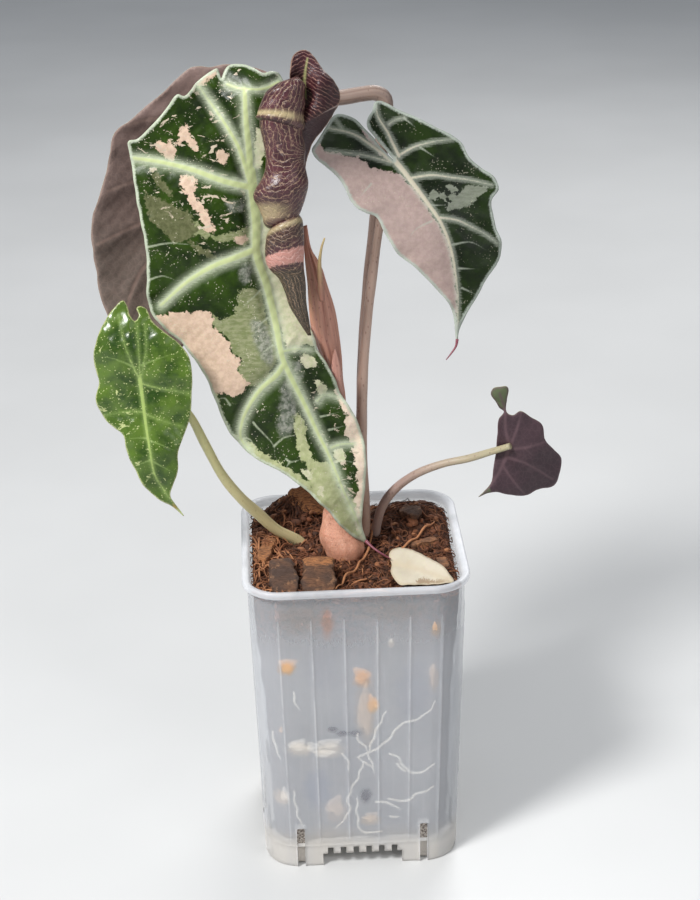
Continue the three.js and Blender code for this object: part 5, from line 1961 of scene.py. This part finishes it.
def add_fibres():
    coir = coir_material("long_fibre")
    for number, line in enumerate(FIBRES, 1):
        line = smooth_line(line, 1.0)
        run = np.arange(len(line))
        x = line[:, 0] + 0.4 * np.sin(run * 0.5 + number)
        y = line[:, 1] + 0.4 * np.cos(run * 0.43 + number)
        z = mix_height(x, y) + 1.9 + 0.35 * np.sin(run * 0.6 + number)
        name = f"fibre_{number}"
        line = np.stack([x, y, z], -1)
        piece = make_tube(name, line, [0.25, 0.5, 0.42, 0.5, 0.2], [coir], 8, 0.9, tint=0.9)
        finish_piece(piece, "coir_fibre", name)


# Roots and bits behind the front wall
# Roots: how far across and how high, along each. The first eight are whole parts.
ROOTS = [
    [
        [-1, 49.2], [3.2, 50.8], [8.2, 53.9], [12.1, 58.3], [15.4, 63], [20.7, 64.6], [25.3, 67.4],
        [29.5, 72.9],
    ],
    [[3.2, 51.5], [5.5, 59.1], [8.2, 65.4], [10.2, 69.4]],
    [[2.9, 51], [3.4, 48.6], [4.2, 45.6], [5.5, 41.7]],
    [
        [-1, 49.2], [0.6, 46.8], [-1, 40.1], [-4, 33.8], [-5.3, 29.1], [-4.6, 24.3], [-6.9, 20.4],
        [-10.2, 15.8],
    ],
    [[11.1, 50], [14.8, 47.6], [16.7, 43.3], [19.4, 40.9], [22.6, 40.5], [25.9, 42.1], [28.9, 44.4]],
    [[10.2, 29.1], [14.1, 27.9], [18.1, 27.9], [21.3, 30.6], [25.3, 31.8], [28.9, 33.8]],
    [[-26.3, 34.6], [-25.7, 29.1], [-24.7, 22.8], [-22.7, 15.8]],
    [[-35.6, 60.9], [-34.2, 55], [-31.7, 48.8]],
    [[-1, 59.9], [-0.4, 55.9], [2.3, 53.2], [2.9, 51.2]],
    [[-6.9, 51.2], [-5.3, 48], [-4.3, 42.5]],
    [[5.5, 27.9], [10.2, 27.1], [13.4, 25.1], [14.8, 23.5]],
    [[-1.7, 29.9], [-1.7, 21.1], [0, 14], [8.2, 13.7]],
    [[-25, 79.6], [-24.4, 75.4], [-23.1, 71.7]],
    [[13.4, 45.3], [15.4, 43.3], [17.2, 41.3]],
    [[0.6, 46.8], [2.6, 45.8], [4.2, 44]],
    [[10.8, 20.8], [12.6, 20.2], [14.4, 20.4]],
]
WHOLE_ROOTS = 8
ROOT_DEPTH = WALL + 0.75


def add_roots():
    s = Shader("roots")
    tone = s.tint((0.95, 0.89, 0.77), (0.78, 0.68, 0.53), s.noise(0.4, 4, 0.6), 0.35, 0.7)
    s.bump(s.noise(1.6, 3, 0.6), 0.3, 0.3)
    s.set(Base_Color=tone, Roughness=0.6)
    for number, line in enumerate(ROOTS, 1):
        line = smooth_line(line, 1.0)
        x = line[:, 0] + 0.35 * np.sin(np.arange(len(line)) * 0.9 + number)
        points = wall_points(0, x, line[:, 1], -ROOT_DEPTH)
        name = f"root_{number}"
        piece = make_tube(name, points, [0.45, 0.55, 0.5, 0.3], [s.material], 8, 0.9)
        finish_piece(piece, "root", *([name] if number <= WHOLE_ROOTS else []))


# Bits of bark and perlite against the wall: across, height, half width, half height and kind.
BITS = [
    (-27, 91, 3.6, 3.0, "orange"), (1.0, 85.1, 3.3, 3.6, "orange"), (4.9, 72.5, 2.3, 3.6, "orange"),
    (28.6, 105.3, 1.6, 2.6, "orange"), (1.8, 69, 2.6, 11, "peach"), (-24, 55.1, 3.6, 2.6, "white"),
    (-11.5, 55.3, 4.2, 2.2, "white"), (-14.2, 50.8, 4.2, 1.8, "white"), (-18, 54, 3.0, 2.0, "white"),
    (-30.9, 31.8, 2.5, 3.0, "white"), (-31.3, 61.9, 1.0, 1.3, "orange"), (12.1, 100.1, 1.0, 1.4, "white"),
    (27.9, 84.4, 1.4, 5.0, "peach"), (-9.6, 62.4, 3.2, 1.0, "dark"), (-4, 60.6, 3.8, 1.1, "dark"),
    (1.6, 31.8, 2.0, 3.6, "dark"), (0.8, 21.5, 0.8, 0.9, "dark"), (-10.2, 26, 3.5, 4.5, "peach"),
    (3.4, 20.2, 3.2, 2.2, "peach"), (-11.5, 111, 2.2, 6.0, "rust"), (-20.7, 112, 1.4, 5.0, "rust"),
    (-30.6, 113, 1.6, 4.0, "rust"), (-4, 111, 1.2, 5.0, "rust"), (-9, 116, 4.0, 1.4, "rust"),
    (29.2, 114, 2.0, 2.5, "rust"), (9.2, 114.6, 2.0, 1.2, "rust"), (-26, 115, 4.5, 1.4, "rust"),
]
BIT_COLOURS = {
    "orange": ((0.90, 0.45, 0.14), (0.70, 0.33, 0.10)),
    "peach": ((0.62, 0.44, 0.30), (0.40, 0.28, 0.20)),
    "rust": ((0.36, 0.15, 0.08), (0.16, 0.06, 0.04)),
    "white": ((0.80, 0.76, 0.70), (0.66, 0.58, 0.48)),
    "dark": ((0.03, 0.025, 0.03), (0.05, 0.04, 0.035)),
}


def bit_material(kind):
    s = Shader("bit_" + kind)
    tone = s.tint(*BIT_COLOURS[kind], s.noise(0.5, 5, 0.65), 0.35, 0.65)
    s.bump(s.noise(1.0, 4, 0.6), 0.5, 0.5)
    return s.set(Base_Color=tone, Roughness=0.8)


def add_bits():
    looks = {kind: bit_material(kind) for kind in BIT_COLOURS}
    sides = 20
    turn = circle(sides)
    for number, (x, z, wide, tall, kind) in enumerate(BITS):
        edge = 1 + 0.22 * np.sin(3 * turn + number) + 0.12 * np.sin(5 * turn + 2 * number)
        across, up = wide * edge * np.cos(turn), tall * edge * np.sin(turn)
        rings = []
        for lift, share in ((0.0, 0.8), (0.5, 1.0), (1.1, 0.9), (1.5, 0.6)):
            out = lift - WALL - ROOT_SPACE - 0.25
            rings.append(wall_points(0, x + share * across, z + share * up, out))
        piece = add_mesh(f"bit_{number + 1}", capped(rings), close_rings(rings, sides), [looks[kind]])
        finish_piece(piece, "bark")


# Floor and light
def add_floor():
    s = Shader("pale_floor")
    tone = s.tint((0.62, 0.62, 0.61), (0.66, 0.66, 0.65), s.noise(0.004, 3), 0.35, 0.65)
    s.bump(s.noise(0.8, 2), 0.02, 0.1)
    s.set(Base_Color=tone, Roughness=0.45)
    size = 5000.0
    corners = [(-size, -size, 0), (size, -size, 0), (size, size, 0), (-size, size, 0)]
    add_mesh("floor", corners, [(0, 1, 2, 3)], [s.material], smooth=False)


def add_light(name, place, target, size, power):
    """A round lamp, its place and target in metres from the pot's middle."""
    data = bpy.data.lights.new(name, "AREA")
    data.shape = "DISK"
    data.size = size
    data.energy = power
    lamp = bpy.data.objects.new(name, data)
    lamp.location = Vector(MIDDLE) + Vector(place)
    aim = Vector(MIDDLE) + Vector(target) - lamp.location
    lamp.rotation_euler = aim.to_track_quat("-Z", "Y").to_euler()
    bpy.context.collection.objects.link(lamp)


def add_lights():
    world = bpy.data.worlds.new("studio")
    world.use_nodes = True
    sky = world.node_tree.nodes["Background"].inputs
    sky["Color"].default_value = (0.80, 0.86, 0.95, 1)
    sky["Strength"].default_value = 0.32
    bpy.context.scene.world = world
    add_light("key", (-0.70, -0.60, 1.10), (0, 0, 0.15), 0.32, 21)
    add_light("fill", (0.9, -0.9, 0.7), (0, 0, 0.15), 0.9, 3.5)
    add_light("back", (0.3, 0.9, 0.9), (0, 0, 0.2), 0.6, 6)


add_camera()
add_floor()
add_lights()
add_leaves()
add_new_leaf()
add_stalks()
add_drips()
add_sheaths()
add_stem_base()
add_pot()
add_pot_floor()
add_slot_grains()
add_mix()
add_coir()
add_bark()
add_fibres()
add_roots()
add_bits()
bpy.context.scene.view_settings.view_transform = "Standard"
